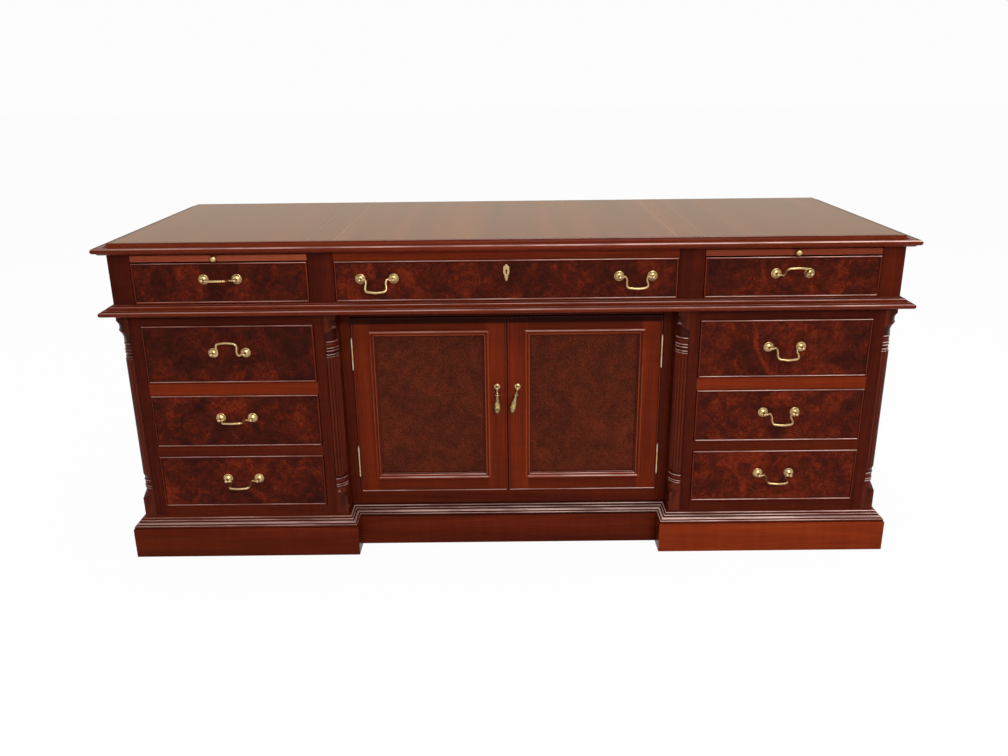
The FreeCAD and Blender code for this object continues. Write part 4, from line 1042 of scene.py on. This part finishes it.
def drawer(name, x, z, shade):
    y = (FRONT_Y, FRONT_Y + FRONT_THICK)
    front = board(inset(x, VENEER_FIT), y, inset(z, VENEER_FIT), 0.1, shade=shade)
    node = f"{name}_front"
    piece(f"{name}_veneer", front, name, [node], BURR)
    bead = cock_bead(x, z, FRONT_Y)
    piece(f"{name}_bead", bead, name, [node], MOULDING_WOOD)
    box = boards_from(f"{name}_box")
    piece(f"{name}_box_boards", box, name, [f"{name}_box"], INSIDE_WOOD)


LONG_X = (-389.4, 389.4)
FRIEZE_X = (450.6, 848.4)
FRIEZE_Z = (640.3, 733.8)
ROW_X = (448.6, 845.4)
ROWS = {"top": (447.4, 586.8), "middle": (285.4, 415.8), "bottom": (127.4, 259.8)}
# Each drawer's burr is moved along its ramp: partly the veneer's own spread, partly painted
# light, darker on the left top drawers as painted shade under the waist and lighter on the
# right.
BURR_TONES_AND_PAINTED_LIGHT = {
    "left": {"frieze": -0.05, "top": -0.3, "middle": 0.0, "bottom": 0.1},
    "right": {"frieze": 0.1, "top": 0.1, "middle": 0.2, "bottom": 0.35},
}


def on_side(ends, sign):
    """A pair of ends of the right half, on the side of the sign, lower one first."""
    return sorted(end * sign for end in ends)


drawer("long_drawer", LONG_X, FRIEZE_Z, 0.0)
for side, sign in SIDES.items():
    shades = BURR_TONES_AND_PAINTED_LIGHT[side]
    drawer(f"{side}_frieze_drawer", on_side(FRIEZE_X, sign), FRIEZE_Z, shades["frieze"])
    for row, z in ROWS.items():
        drawer(f"{side}_{row}_drawer", on_side(ROW_X, sign), z, shades[row])

# %% [markdown]
# Each swan-neck handle hangs between two turned posts: a domed rosette with a step
# round it, a thin neck, and a ball that takes the end of the wire.

# %% Handle posts
POST_PROFILE = (
    # the step and the dome of the rosette
    (0, -0.4), (11.4, -0.4), (11.5, 0.3), (11.3, 1.0), (10.6, 1.5), (9.7, 1.6),
    (9.5, 2.3), (9.0, 3.3), (8.0, 4.4), (6.6, 5.4), (5.0, 6.2), (3.6, 6.8),
    # the neck and its ring
    (2.8, 7.6), (2.4, 9.0), (2.4, 11.4), (2.9, 12.4), (3.3, 12.8), (3.0, 13.4),
    # the ball
    (3.1, 14.2), (3.8, 15.6), (4.15, 17.4), (4.1, 19.0), (3.4, 20.6), (2.2, 21.6),
    (1.0, 21.95), (0, 22.0),
)
PULL_REACH = 37.75


def at_front(bm, x, y, z):
    """Points a turning along -Y and moves it to its place."""
    return put(bm, moved(x, y, z) @ FACING_FRONT)


def pulls(body, spots):
    bm = bmesh.new()
    for middle, z in spots:
        for x in (middle - PULL_REACH, middle + PULL_REACH):
            add(bm, at_front(turned(POST_PROFILE, steps=32), x, FRONT_Y, z))
    node = f"{body}_pulls"
    piece(f"{body}_posts", bm, body, [node], HANDLE_BRASS)


print("each handle has two posts,", 2 * PULL_REACH, "mm apart")

# %% [markdown]
# The handle itself is one wire: level through the posts, then the swan neck down and
# out to the feet, and a bar between them that is thicker in the middle. Its line is a
# wire with rounded corners, and a circle is run along it.

# %% Handle wires
PULL_Y = -338
BAIL_LINE = (
    # the shoulder in the post, then out to the foot of the swan neck
    (PULL_REACH, 0), (31.2, 0, 2.2), (28.0, 2.3, 2.4), (24.6, 2.3, 3.2), (21.5, -5.5, 5.0),
    (24.9, -19.5, 6.0), (21.0, -27.3, 4.4),
    # the bar, to its middle
    (11.0, -28.6, 3.0), (0, -30.0, 4.0),
)
BAIL_RADII = ((0.0, 2.7), (0.3, 2.55), (0.55, 2.3), (0.8, 2.1), (0.93, 2.2), (1.0, 1.5))


def bail_radius(share):
    """The wire's radius at a share of its length. The table runs from the middle of
    the bar, 0, to a post, 1."""
    out = abs(share * 2 - 1)
    for (start, first), (end, second) in zip(BAIL_RADII, BAIL_RADII[1:]):
        if out <= end:
            return first + (second - first) * (out - start) / (end - start)
    return BAIL_RADII[-1][1]


def rounded_line(points):
    """The points of a line in the XZ plane after its corners are rounded, in order."""
    bm = bmesh.new()
    section_wire(bm, points, closed=False)
    ends = [vert for vert in bm.verts if len(vert.link_edges) == 1]
    here = min(ends, key=lambda vert: vert.co.x)
    line, before = [here.co.copy()], None
    while len(here.link_edges) > 1 or before is None:
        edge = next(item for item in here.link_edges if item != before)
        here, before = edge.other_vert(here), edge
        line.append(here.co.copy())
    bm.free()
    return line


def bail_frames(line):
    """A frame at each point of a line in the XZ plane, scaled to the wire there."""
    frames = []
    for index, point in enumerate(line):
        before = line[max(index - 1, 0)]
        after = line[min(index + 1, len(line) - 1)]
        along = (after - before).normalized()
        across = Vector((along.z, 0, -along.x))
        radius = bail_radius(index / (len(line) - 1)) * MM
        axes = Matrix((across * radius, along, Vector((0, 1, 0)) * radius))
        frames.append(Matrix.Translation(point) @ axes.transposed().to_4x4())
    return frames


def bail(body, x, z, swing):
    """A handle that hangs from (x, z), swung out by an angle in degrees."""
    left = [(-out, up, *rounding) for out, up, *rounding in BAIL_LINE[:-1]]
    bm = bmesh.new()
    bmesh.ops.create_circle(bm, cap_ends=False, segments=14, radius=1.0)
    put(bm, FACING_FRONT)
    run(bm, bail_frames(rounded_line([*left, *BAIL_LINE[::-1]])))
    fill_holes(bm)
    bmesh.ops.recalc_face_normals(bm, faces=bm.faces)
    put(bm, moved(x, PULL_Y, z) @ Matrix.Rotation(math.radians(-swing), 4, "X"))
    piece(f"{body}_wire", bm, body, [body], HANDLE_BRASS)


PULL_X = 647
PULL_Z = {"top": 522, "middle": 359.5, "bottom": 201}
FRIEZE_PULL = (649.5, 696)
LONG_PULL = (293.7, 693.5)
SWINGS = {
    "left": {"frieze": 100, "top": 172, "middle": 96, "bottom": 77},
    "right": {"frieze": 131, "top": 45, "middle": 52, "bottom": 73},
}
LONG_SWINGS = {"left": 31, "right": 45}
pulls("long_drawer", [(LONG_PULL[0] * sign, LONG_PULL[1]) for sign in SIDES.values()])
for side, sign in SIDES.items():
    bail(f"long_drawer_{side}_bail", LONG_PULL[0] * sign, LONG_PULL[1], LONG_SWINGS[side])
for side, sign in SIDES.items():
    spots = {"frieze": FRIEZE_PULL, **{row: (PULL_X, z) for row, z in PULL_Z.items()}}
    for row, (x, z) in spots.items():
        name = f"{side}_{row}_drawer"
        pulls(name, [(x * sign, z)])
        bail(f"{name}_bail", x * sign, z, SWINGS[side][row])

# %% [markdown]
# The keyhole plate is sawn from thin brass: lobes at the top and the bottom, a waist
# between them, and a keyhole a little above the middle. Its outline and the keyhole
# are two wires that are filled together, and solidify gives the plate its thickness.

# %% Keyhole plate
PLATE_HALF = (
    (0, 19.0), (2.2, 18.2, 1.0), (3.2, 15.6, 1.0), (5.6, 15.2, 1.4), (7.2, 11.6, 2.2),
    (6.2, 7.4, 1.4), (7.2, 3.0, 2.4), (5.8, -3.2, 2.0), (3.6, -6.0, 1.2),
    (4.4, -9.6, 1.6), (2.8, -13.0, 1.2), (2.6, -16.6, 1.4), (0, -19.0),
)
KEYHOLE_HALF = (
    (0, 7.2), (2.4, 7.2, 1.6), (2.4, 2.6, 1.6), (1.1, 2.2, 0.3), (1.5, -3.4, 0.4), (0, -3.4),
)
PLATE_THICK = 1.2
PLATE_Z = 704.2
LOCK_CASE = ((-30, 30), (-300, -287), (686.9, 720.9))


def mirrored(half):
    return [*half, *((-x, *rest) for x, *rest in half[-2:0:-1])]


def keyhole_plate():
    bm = bmesh.new()
    section_wire(bm, mirrored(PLATE_HALF), segments=4)
    section_wire(bm, mirrored(KEYHOLE_HALF), segments=4)
    bmesh.ops.triangle_fill(bm, use_beauty=True, use_dissolve=False, edges=bm.edges)
    bmesh.ops.dissolve_limit(bm, angle_limit=0.02, verts=bm.verts, edges=bm.edges)
    bmesh.ops.recalc_face_normals(bm, faces=bm.faces)
    bmesh.ops.solidify(bm, geom=bm.faces, thickness=PLATE_THICK * MM)
    bmesh.ops.recalc_face_normals(bm, faces=bm.faces)
    front = min(vert.co.y for vert in bm.verts)
    ease(bm, 0.25, above=60)
    stand_proud = Matrix.Translation((0, -front - PLATE_THICK * MM, 0))
    return put(bm, moved(0, FRONT_Y, PLATE_Z) @ stand_proud)


lock = keyhole_plate()
add(lock, board(*LOCK_CASE, 0.8))
node = "long_drawer_lock"
piece("long_drawer_keyhole", lock, "long_drawer", [node], HANDLE_BRASS)

# %% [markdown]
# The writing slides are boards that pull out under the desktop. Each has a lipping
# of paler mahogany on its front edge and one small turned knob.

# %% Writing slides
KNOB = (
    # the foot and the neck
    (0, -0.5), (4.6, -0.5), (4.6, 0.8), (3.4, 1.4), (2.6, 2.6), (2.6, 4.4),
    # the ball
    (4.2, 5.0), (6.4, 5.6), (7.7, 7.2), (7.9, 8.8), (7.4, 10.8), (6.0, 12.9),
    (3.8, 14.3), (1.8, 14.9), (0, 15.0),
)
KNOB_X = 657
SLIDE_X = (450, 849)
SLIDE_Z = (736.5, 752)
SLIDE_BACK = 80
LIPPING_BACK = -312
# The right lipping is darker than the left, partly as painted shade under the desktop.
LIPPING_TONES_AND_SHADE = {"left": 0.6, "right": 0.0}
for side, sign in SIDES.items():
    name = f"{side}_slide"
    node = f"{side}_writing_slide"
    x = on_side(SLIDE_X, sign)
    y = (LIPPING_BACK, SLIDE_BACK)
    slide = board(x, y, SLIDE_Z, 0.8, along=AXIS_Y, shade=MEDIUM)
    piece(f"{name}_board", slide, name, [node], MAHOGANY)
    z = inset(SLIDE_Z, 0.02)
    lipping = board(x, (FRONT_Y, LIPPING_BACK), z, 1.4, shade=LIPPING_TONES_AND_SHADE[side])
    piece(f"{name}_lipping", lipping, name, [node], LIPPING)
    knob = at_front(turned(KNOB, steps=28), KNOB_X * sign, FRONT_Y, sum(SLIDE_Z) / 2)
    node = f"{side}_slide_knob"
    piece(f"{name}_turned_knob", knob, name, [node], HANDLE_BRASS)

# %% [markdown]
# A cupboard door is a frame: two stiles run its full height, two rails fit between
# them, and a bolection moulding covers the joint with the burr panel. A small bead
# runs round the outer edge. The head is tucked under the waist moulding, so it is cut
# across and given painted shadow of the waist there, without the pale crest mark.

# %% Doors
DOOR_X = (1, 371)
DOOR_Z = (133.5, 588)
STILE = 49.5
RAIL = 42
DOOR_THICK = 22
PANEL_SET = (6, 14)
# The painted shadow of the waist starts this high on a door, with a fade below it.
HEAD_SHADOW_EDGE = 572.5
HEAD_FADE = 3.4
HEAD_PAINTED_SHADOW = 1.15
BOLECTION_TILT = (0.35, 0.9)
BOLECTION = (
    # the inner slope and the round
    (-8.2, -2.0), (-8.2, 0.4, 0.3), (-7.4, 3.6, 1.5), (-5.4, 6.0, 1.3), (-2.2, 6.2, 1.4),
    # the quirk, the outer round and the lip over the frame
    (0.2, 4.2, 0.7), (0.5, 2.0, 0.5), (3.2, 3.2, 1.2), (5.2, 2.2, 1.0), (6.4, -0.4, 0.6),
    (8.2, -1.6, 0.5), (8.2, -7.0),
)


def paint_head_shadow(bm):
    """Paints the waist's shadow on the head of a door, with a short fade cut in below it, and
    clears the crest mark there.
    """
    for z in (HEAD_SHADOW_EDGE - HEAD_FADE, HEAD_SHADOW_EDGE):
        cut(bm, (0, 0, z * MM), (0, 0, 1))
    _, _, rubbed, hollow = wood_layers(bm)
    for vert in bm.verts:
        if vert.co.z > (HEAD_SHADOW_EDGE - 0.1) * MM:
            for loop in vert.link_loops:
                loop[hollow] = HEAD_PAINTED_SHADOW
                loop[rubbed] = 0.0


def door(side, sign):
    body = f"{side}_door"
    outer = on_side(DOOR_X, sign)
    inner = inset(outer, STILE)
    y = (CUPBOARD_Y, CUPBOARD_Y + DOOR_THICK)
    opening = inset(DOOR_Z, RAIL)
    bm = board((outer[0], inner[0]), y, DOOR_Z, 0.3, shade=0.7)
    add(bm, board((inner[1], outer[1]), y, DOOR_Z, 0.3, shade=0.7))
    add(bm, board(inner, y, (DOOR_Z[0], opening[0]), 0.3, shade=MEDIUM))
    add(bm, board(inner, y, (opening[1], DOOR_Z[1]), 0.3, shade=MEDIUM))
    paint_head_shadow(bm)
    piece(f"{body}_framing", bm, body, [f"{body}_frame"], MAHOGANY)
    section = [(-out, *rest) for out, *rest in BOLECTION]
    trim = facing_front(moulding(rectangle(inner, opening), section), CUPBOARD_Y)
    lay_grain(trim, shift=0.4 * sign, shade=1.3)
    wear_and_painted_light(trim, BOLECTION_TILT, 0.9)
    add(trim, cock_bead(outer, DOOR_Z, CUPBOARD_Y))
    paint_head_shadow(trim)
    node = f"{body}_frame"
    piece(f"{body}_mouldings", trim, body, [node], MOULDING_WOOD)
    panel_y = [CUPBOARD_Y + set_back for set_back in PANEL_SET]
    panel = board(inner, panel_y, opening, 0.1, shade=0.3)
    piece(f"{body}_burr", panel, body, [f"{body}_panel"], PLAIN_BURR)


for side, sign in SIDES.items():
    door(side, sign)

# %% [markdown]
# Butt hinges show as a slim barrel with a small ball at each end. The two outer
# knuckles and the pin belong to the case and the middle knuckle to the door, so they
# are separate pieces, each with its flat leaf and screws let into the wood.

# %% Hinges
HINGE_X = 371.5
HINGE_Y = -264
HINGE_Z = (217.5, 497.5)
KNUCKLE = 2.3
KNUCKLE_RIM = 0.4
KNUCKLE_GAP = 0.9
HALF_HINGE = 37.5
THIRD = 12.5
LEAF_DEEP = 18
FIXED_LEAF = (373.2, 371.95)
MOVING_LEAF = (369.8, 371.05)
SCREW_GAP = 25
SCREW = ((0, -0.3), (2.6, -0.3), (2.6, 0.02), (2.2, 0.16), (0, 0.22))
PIN = ((0, -37), (1.4, -37), (1.4, 37), (0, 37))
FINIAL = (
    (0, -0.6), (0.9, -0.6), (0.9, 0.8), (1.7, 1.3), (2.0, 2.2), (1.7, 3.0), (0.9, 3.6), (0, 3.8),
)


def barrel(start, end):
    """One knuckle between two heights, its rims a little rounded."""
    rim = KNUCKLE_RIM
    way = 1 if end > start else -1
    points = [(0, start), (KNUCKLE - rim, start), (KNUCKLE, start + rim * way)]
    points += [(KNUCKLE, end - rim * way), (KNUCKLE - rim, end), (0, end)]
    return turned(points, steps=20)


def finial(way):
    profile = [(radius, (HALF_HINGE + up) * way) for radius, up in FINIAL]
    return turned(profile, steps=16)


def leaf(ends, z, sign):
    """A leaf with three screws in the second of its ends, which is its show face."""
    edge, face = ends
    y = (HINGE_Y, HINGE_Y + LEAF_DEEP)
    bm = board(on_side(ends, sign), y, (z - HALF_HINGE, z + HALF_HINGE), 0.2)
    way = 1 if (face - edge) * sign > 0 else -1
    facing = Matrix.Rotation(math.radians(90 * way), 4, "Y")
    for step in (-1, 0, 1):
        spot = moved(face * sign, HINGE_Y + LEAF_DEEP * 0.6, z + step * SCREW_GAP)
        add(bm, put(turned(SCREW, steps=16), spot @ facing))
    return bm


def placed_barrels(parts, z, sign):
    bm = bmesh.new()
    for part in parts:
        add(bm, part)
    return put(bm, moved(HINGE_X * sign, HINGE_Y, z))


fixed = bmesh.new()
for sign in SIDES.values():
    for z in HINGE_Z:
        parts = [barrel((THIRD + KNUCKLE_GAP) * way, HALF_HINGE * way) for way in (1, -1)]
        parts += [finial(1), finial(-1), turned(PIN, steps=12)]
        add(fixed, placed_barrels(parts, z, sign))
        add(fixed, leaf(FIXED_LEAF, z, sign))
piece("hinge_fixed_leaves", fixed, "desk", ["door_hinge_leaves"], HINGE_BRASS)

# %% [markdown]
# Teardrop pulls hang on the doors. The post is a small rosette with a ball head, and
# the drop is turned: an eye, a collar, and a long drop that ends in a button.

# %% Door brass
DROP_POST = (
    # the rosette
    (0, -0.4), (7.4, -0.4), (7.5, 0.6), (6.9, 1.5), (5.8, 1.8), (5.0, 2.4),
    # the neck and the ball
    (3.6, 3.2), (2.9, 4.4), (2.7, 7.0), (3.2, 8.4), (4.2, 10.0), (4.7, 12.4),
    (4.5, 14.6), (3.4, 16.6), (1.8, 17.4), (0, 17.6),
)
DROP = (
    # the shank and the collar
    (0, -3.0), (1.8, -3.6), (1.8, -9.0), (2.2, -12.0), (3.4, -13.6),
    (5.2, -15.0), (6.5, -16.4), (6.6, -17.6), (5.6, -18.6), (3.2, -19.4),
    # the long cone, down to a groove
    (2.5, -20.6), (2.6, -22.8), (3.4, -27.0), (4.8, -31.6), (6.3, -36.4),
    (7.5, -40.4), (8.0, -42.4), (7.9, -43.4), (6.8, -44.2),
    # the bulb, down to the next
    (7.6, -45.0), (8.6, -46.8), (9.0, -49.4), (8.8, -52.0), (8.0, -54.2), (6.6, -55.8),
    # the foot and its button
    (7.4, -56.8), (7.2, -58.8), (5.6, -61.4), (3.6, -62.8), (2.4, -63.4),
    (2.5, -64.4), (1.4, -65.8), (0, -66.0),
)
DROP_X = 24.7
DROP_Z = 411
DROP_PIN_Y = -276
DROP_LEANS = {"left": 0, "right": 12.6}
EYE_RADIUS = 3.0
EYE_WIRE = 1.25


def ring_eye():
    """The eye at the head of a drop: a small ring whose hole runs left to right."""
    bm = bmesh.new()
    bmesh.ops.create_circle(bm, cap_ends=False, segments=10, radius=EYE_WIRE * MM)
    put(bm, FACING_FRONT @ moved(EYE_RADIUS, 0, 0))
    spin(bm, steps=20)
    return put(bm, Matrix.Rotation(math.radians(90), 4, "Y"))


for side, sign in SIDES.items():
    body = f"{side}_door"
    brasses = bmesh.new()
    for z in HINGE_Z:
        add(brasses, placed_barrels([barrel(-THIRD, THIRD)], z, sign))
        add(brasses, leaf(MOVING_LEAF, z, sign))
    post = turned(DROP_POST, steps=28)
    add(brasses, at_front(post, DROP_X * sign, CUPBOARD_Y, DROP_Z))
    piece(f"{body}_brasses", brasses, body, [f"{body}_brass"], HANDLE_BRASS)
    hanging = turned(DROP, steps=32)
    add(hanging, ring_eye())
    leaning = Matrix.Rotation(math.radians(DROP_LEANS[side]), 4, "Y")
    put(hanging, moved(DROP_X * sign, DROP_PIN_Y, DROP_Z) @ leaning)
    node = f"{body}_drop"
    piece(f"{node}_turned", hanging, f"{side}_drop", [node], DARK_BRASS)

# %% [markdown]
# The studio has a white floor and a white sky. Both are white to the camera and in
# reflections, and light the desk far less than they show: a light path's kind mixes
# a plain glow with the real surface.

# %% Floor
WHITE = (1, 1, 1, 1)
FLOOR_WHITES = ((0.0, colour(246, 246, 246)), (1.0, colour(250, 250, 250)))
FLOOR_HALF = 30


def sheet(name, matrix, paint):
    """A square two metres wide, placed by a matrix. It is a part of the studio."""
    bm = bmesh.new()
    bmesh.ops.create_grid(bm, x_segments=1, y_segments=1, size=1)
    put(bm, matrix)
    mesh = bpy.data.meshes.new(name)
    bm.to_mesh(mesh)
    bm.free()
    mesh.materials.append(paint)
    made = bpy.data.objects.new(name, mesh)
    bpy.context.scene.collection.objects.link(made)
    return made


def floor_finish():
    finish = Finish("pale_floor", Roughness=0.9, Specular_IOR_Level=0.0)
    mottle = finish.noise(finish.object_place(), 3.0, 2)
    finish.set("Base Color", finish.ramp(mottle, *FLOOR_WHITES))
    seen = finish.ray("Camera").larger(finish.ray("Glossy"))
    seen = seen.larger(finish.ray("Transmission"))
    glow = finish.node("ShaderNodeEmission", {}, {"Color": WHITE})
    surface = Signal(finish, finish.surface.outputs[0])
    sockets = {0: seen * 0.96, 1: surface, 2: glow}
    finish.show(finish.node("ShaderNodeMixShader", {}, sockets))
    return finish.material


floor = sheet("floor", Matrix.Diagonal((FLOOR_HALF, FLOOR_HALF, 1, 1)), floor_finish())
print("floor laid")

# %% [markdown]
# The polished desktop mirrors what stands behind it. A warm wall far behind the desk
# gives it a soft brown sheen. The camera doesn't see the wall, and it lights nothing.

# %% Warm wall
WALL_COLOUR = (0.69, 0.65, 0.54, 1)
WALL_MIDDLE = (0, 6.0, 2.0)
WALL_HALF = (12, 2.2)


def wall_finish():
    material = bpy.data.materials.new("warm_wall")
    material.use_nodes = True
    nodes = Nodes(material.node_tree, "ShaderNodeOutputMaterial")
    nodes.show(nodes.node("ShaderNodeEmission", {}, {"Color": WALL_COLOUR}))
    return material


spread = Matrix.Diagonal((*WALL_HALF, 1, 1))
standing = Matrix.Translation(WALL_MIDDLE) @ FACING_FRONT @ spread
wall = sheet("warm_wall", standing, wall_finish())
wall.visible_camera = False
wall.visible_diffuse = False
wall.visible_shadow = False
print("wall behind the desk")

# %% [markdown]
# The sky is mixed in the same way: a low ambient light for the wood, and white for
# the camera. Reflections see three quarters of that white.

# %% Sky
AMBIENT = 0.34
BACKDROP = 0.98
SKY_IN_GLOSS = 0.75
world = bpy.data.worlds.new("studio")
bpy.context.scene.world = world
world.use_nodes = True
air = Nodes(world.node_tree, "ShaderNodeOutputWorld")
ambient, backdrop = (
    air.node("ShaderNodeBackground", {}, {"Color": WHITE, "Strength": strength})
    for strength in (AMBIENT, BACKDROP)
)
seen = air.ray("Camera").larger(air.ray("Transmission"))
seen = seen.larger(air.ray("Glossy") * SKY_IN_GLOSS)
air.show(air.node("ShaderNodeMixShader", {}, {0: seen, 1: ambient, 2: backdrop}))
print("ambient light", AMBIENT)

# %% [markdown]
# Six area lamps light the desk: a warm key and a long narrow strip in front, which
# draws thin bright lines along the beads, one overhead for the desktop, one behind,
# and one at each end. The lamp behind is kept out of reflections.

# %% Lamps
def lamp(name, place, target, size, power, tint=(1, 1, 1)):
    """A lamp at a place, aimed at a target, in metres. Its power is in watts."""
    data = bpy.data.lights.new(name, "AREA")
    data.shape = "RECTANGLE"
    data.size, data.size_y = size
    data.energy = power
    data.color = tint
    made = bpy.data.objects.new(name, data)
    bpy.context.scene.collection.objects.link(made)
    aim = Vector(target) - Vector(place)
    turn = aim.to_track_quat("-Z", "Y").to_matrix().to_4x4()
    made.matrix_world = Matrix.Translation(place) @ turn
    return made


lamp("key_light", (0.9, -4.3, 2.7), (0, -0.3, 0.45), (1.6, 0.5), 96, (1.0, 0.96, 0.92))
lamp("ceiling_strip", (0.3, -2.3, 3.0), (0, -0.3, 0.4), (3.6, 0.12), 26, (1.0, 0.98, 0.95))
lamp("overhead", (0.2, 0.3, 3.2), (0, 0, 0.7), (2.4, 1.2), 20)
behind = lamp("back_softbox", (0, 4.0, 2.6), (0, 0, 0.4), (3.0, 1.6), 34)
behind.visible_glossy = False
for sign in SIDES.values():
    lamp("end_softbox", (4.2 * sign, -0.6, 2.2), (0, 0, 0.4), (1.6, 1.6), 16)
print("six lamps")

# %% [markdown]
# The camera stands in front of the middle, above the desktop, and looks down a
# little. Its lens is moderately wide, and it is level to within a degree.

# %% Camera
CAMERA_PLACE = (-0.0057, -2.3188, 1.1278)
CAMERA_YAW = math.radians(-0.064)
CAMERA_PITCH = math.radians(18.675)
CAMERA_ROLL = math.radians(-0.636)
LENS = 31.99
level = Vector((math.sin(CAMERA_YAW), math.cos(CAMERA_YAW), 0))
forward = level * math.cos(CAMERA_PITCH) + Vector((0, 0, -math.sin(CAMERA_PITCH)))
right = Vector((level.y, -level.x, 0))
above = right.cross(forward)
tilted_right = right * math.cos(CAMERA_ROLL) + above * math.sin(CAMERA_ROLL)
tilted_above = above * math.cos(CAMERA_ROLL) - right * math.sin(CAMERA_ROLL)
camera_data = bpy.data.cameras.new("camera")
camera_data.sensor_width = 36
camera_data.lens = LENS
camera = bpy.data.objects.new("camera", camera_data)
bpy.context.scene.collection.objects.link(camera)
axes = Matrix((tilted_right, tilted_above, -forward)).transposed().to_4x4()
camera.matrix_world = Matrix.Translation(CAMERA_PLACE) @ axes
bpy.context.scene.camera = camera
bpy.context.scene.view_settings.view_transform = "Standard"
print("lens", LENS, "mm")
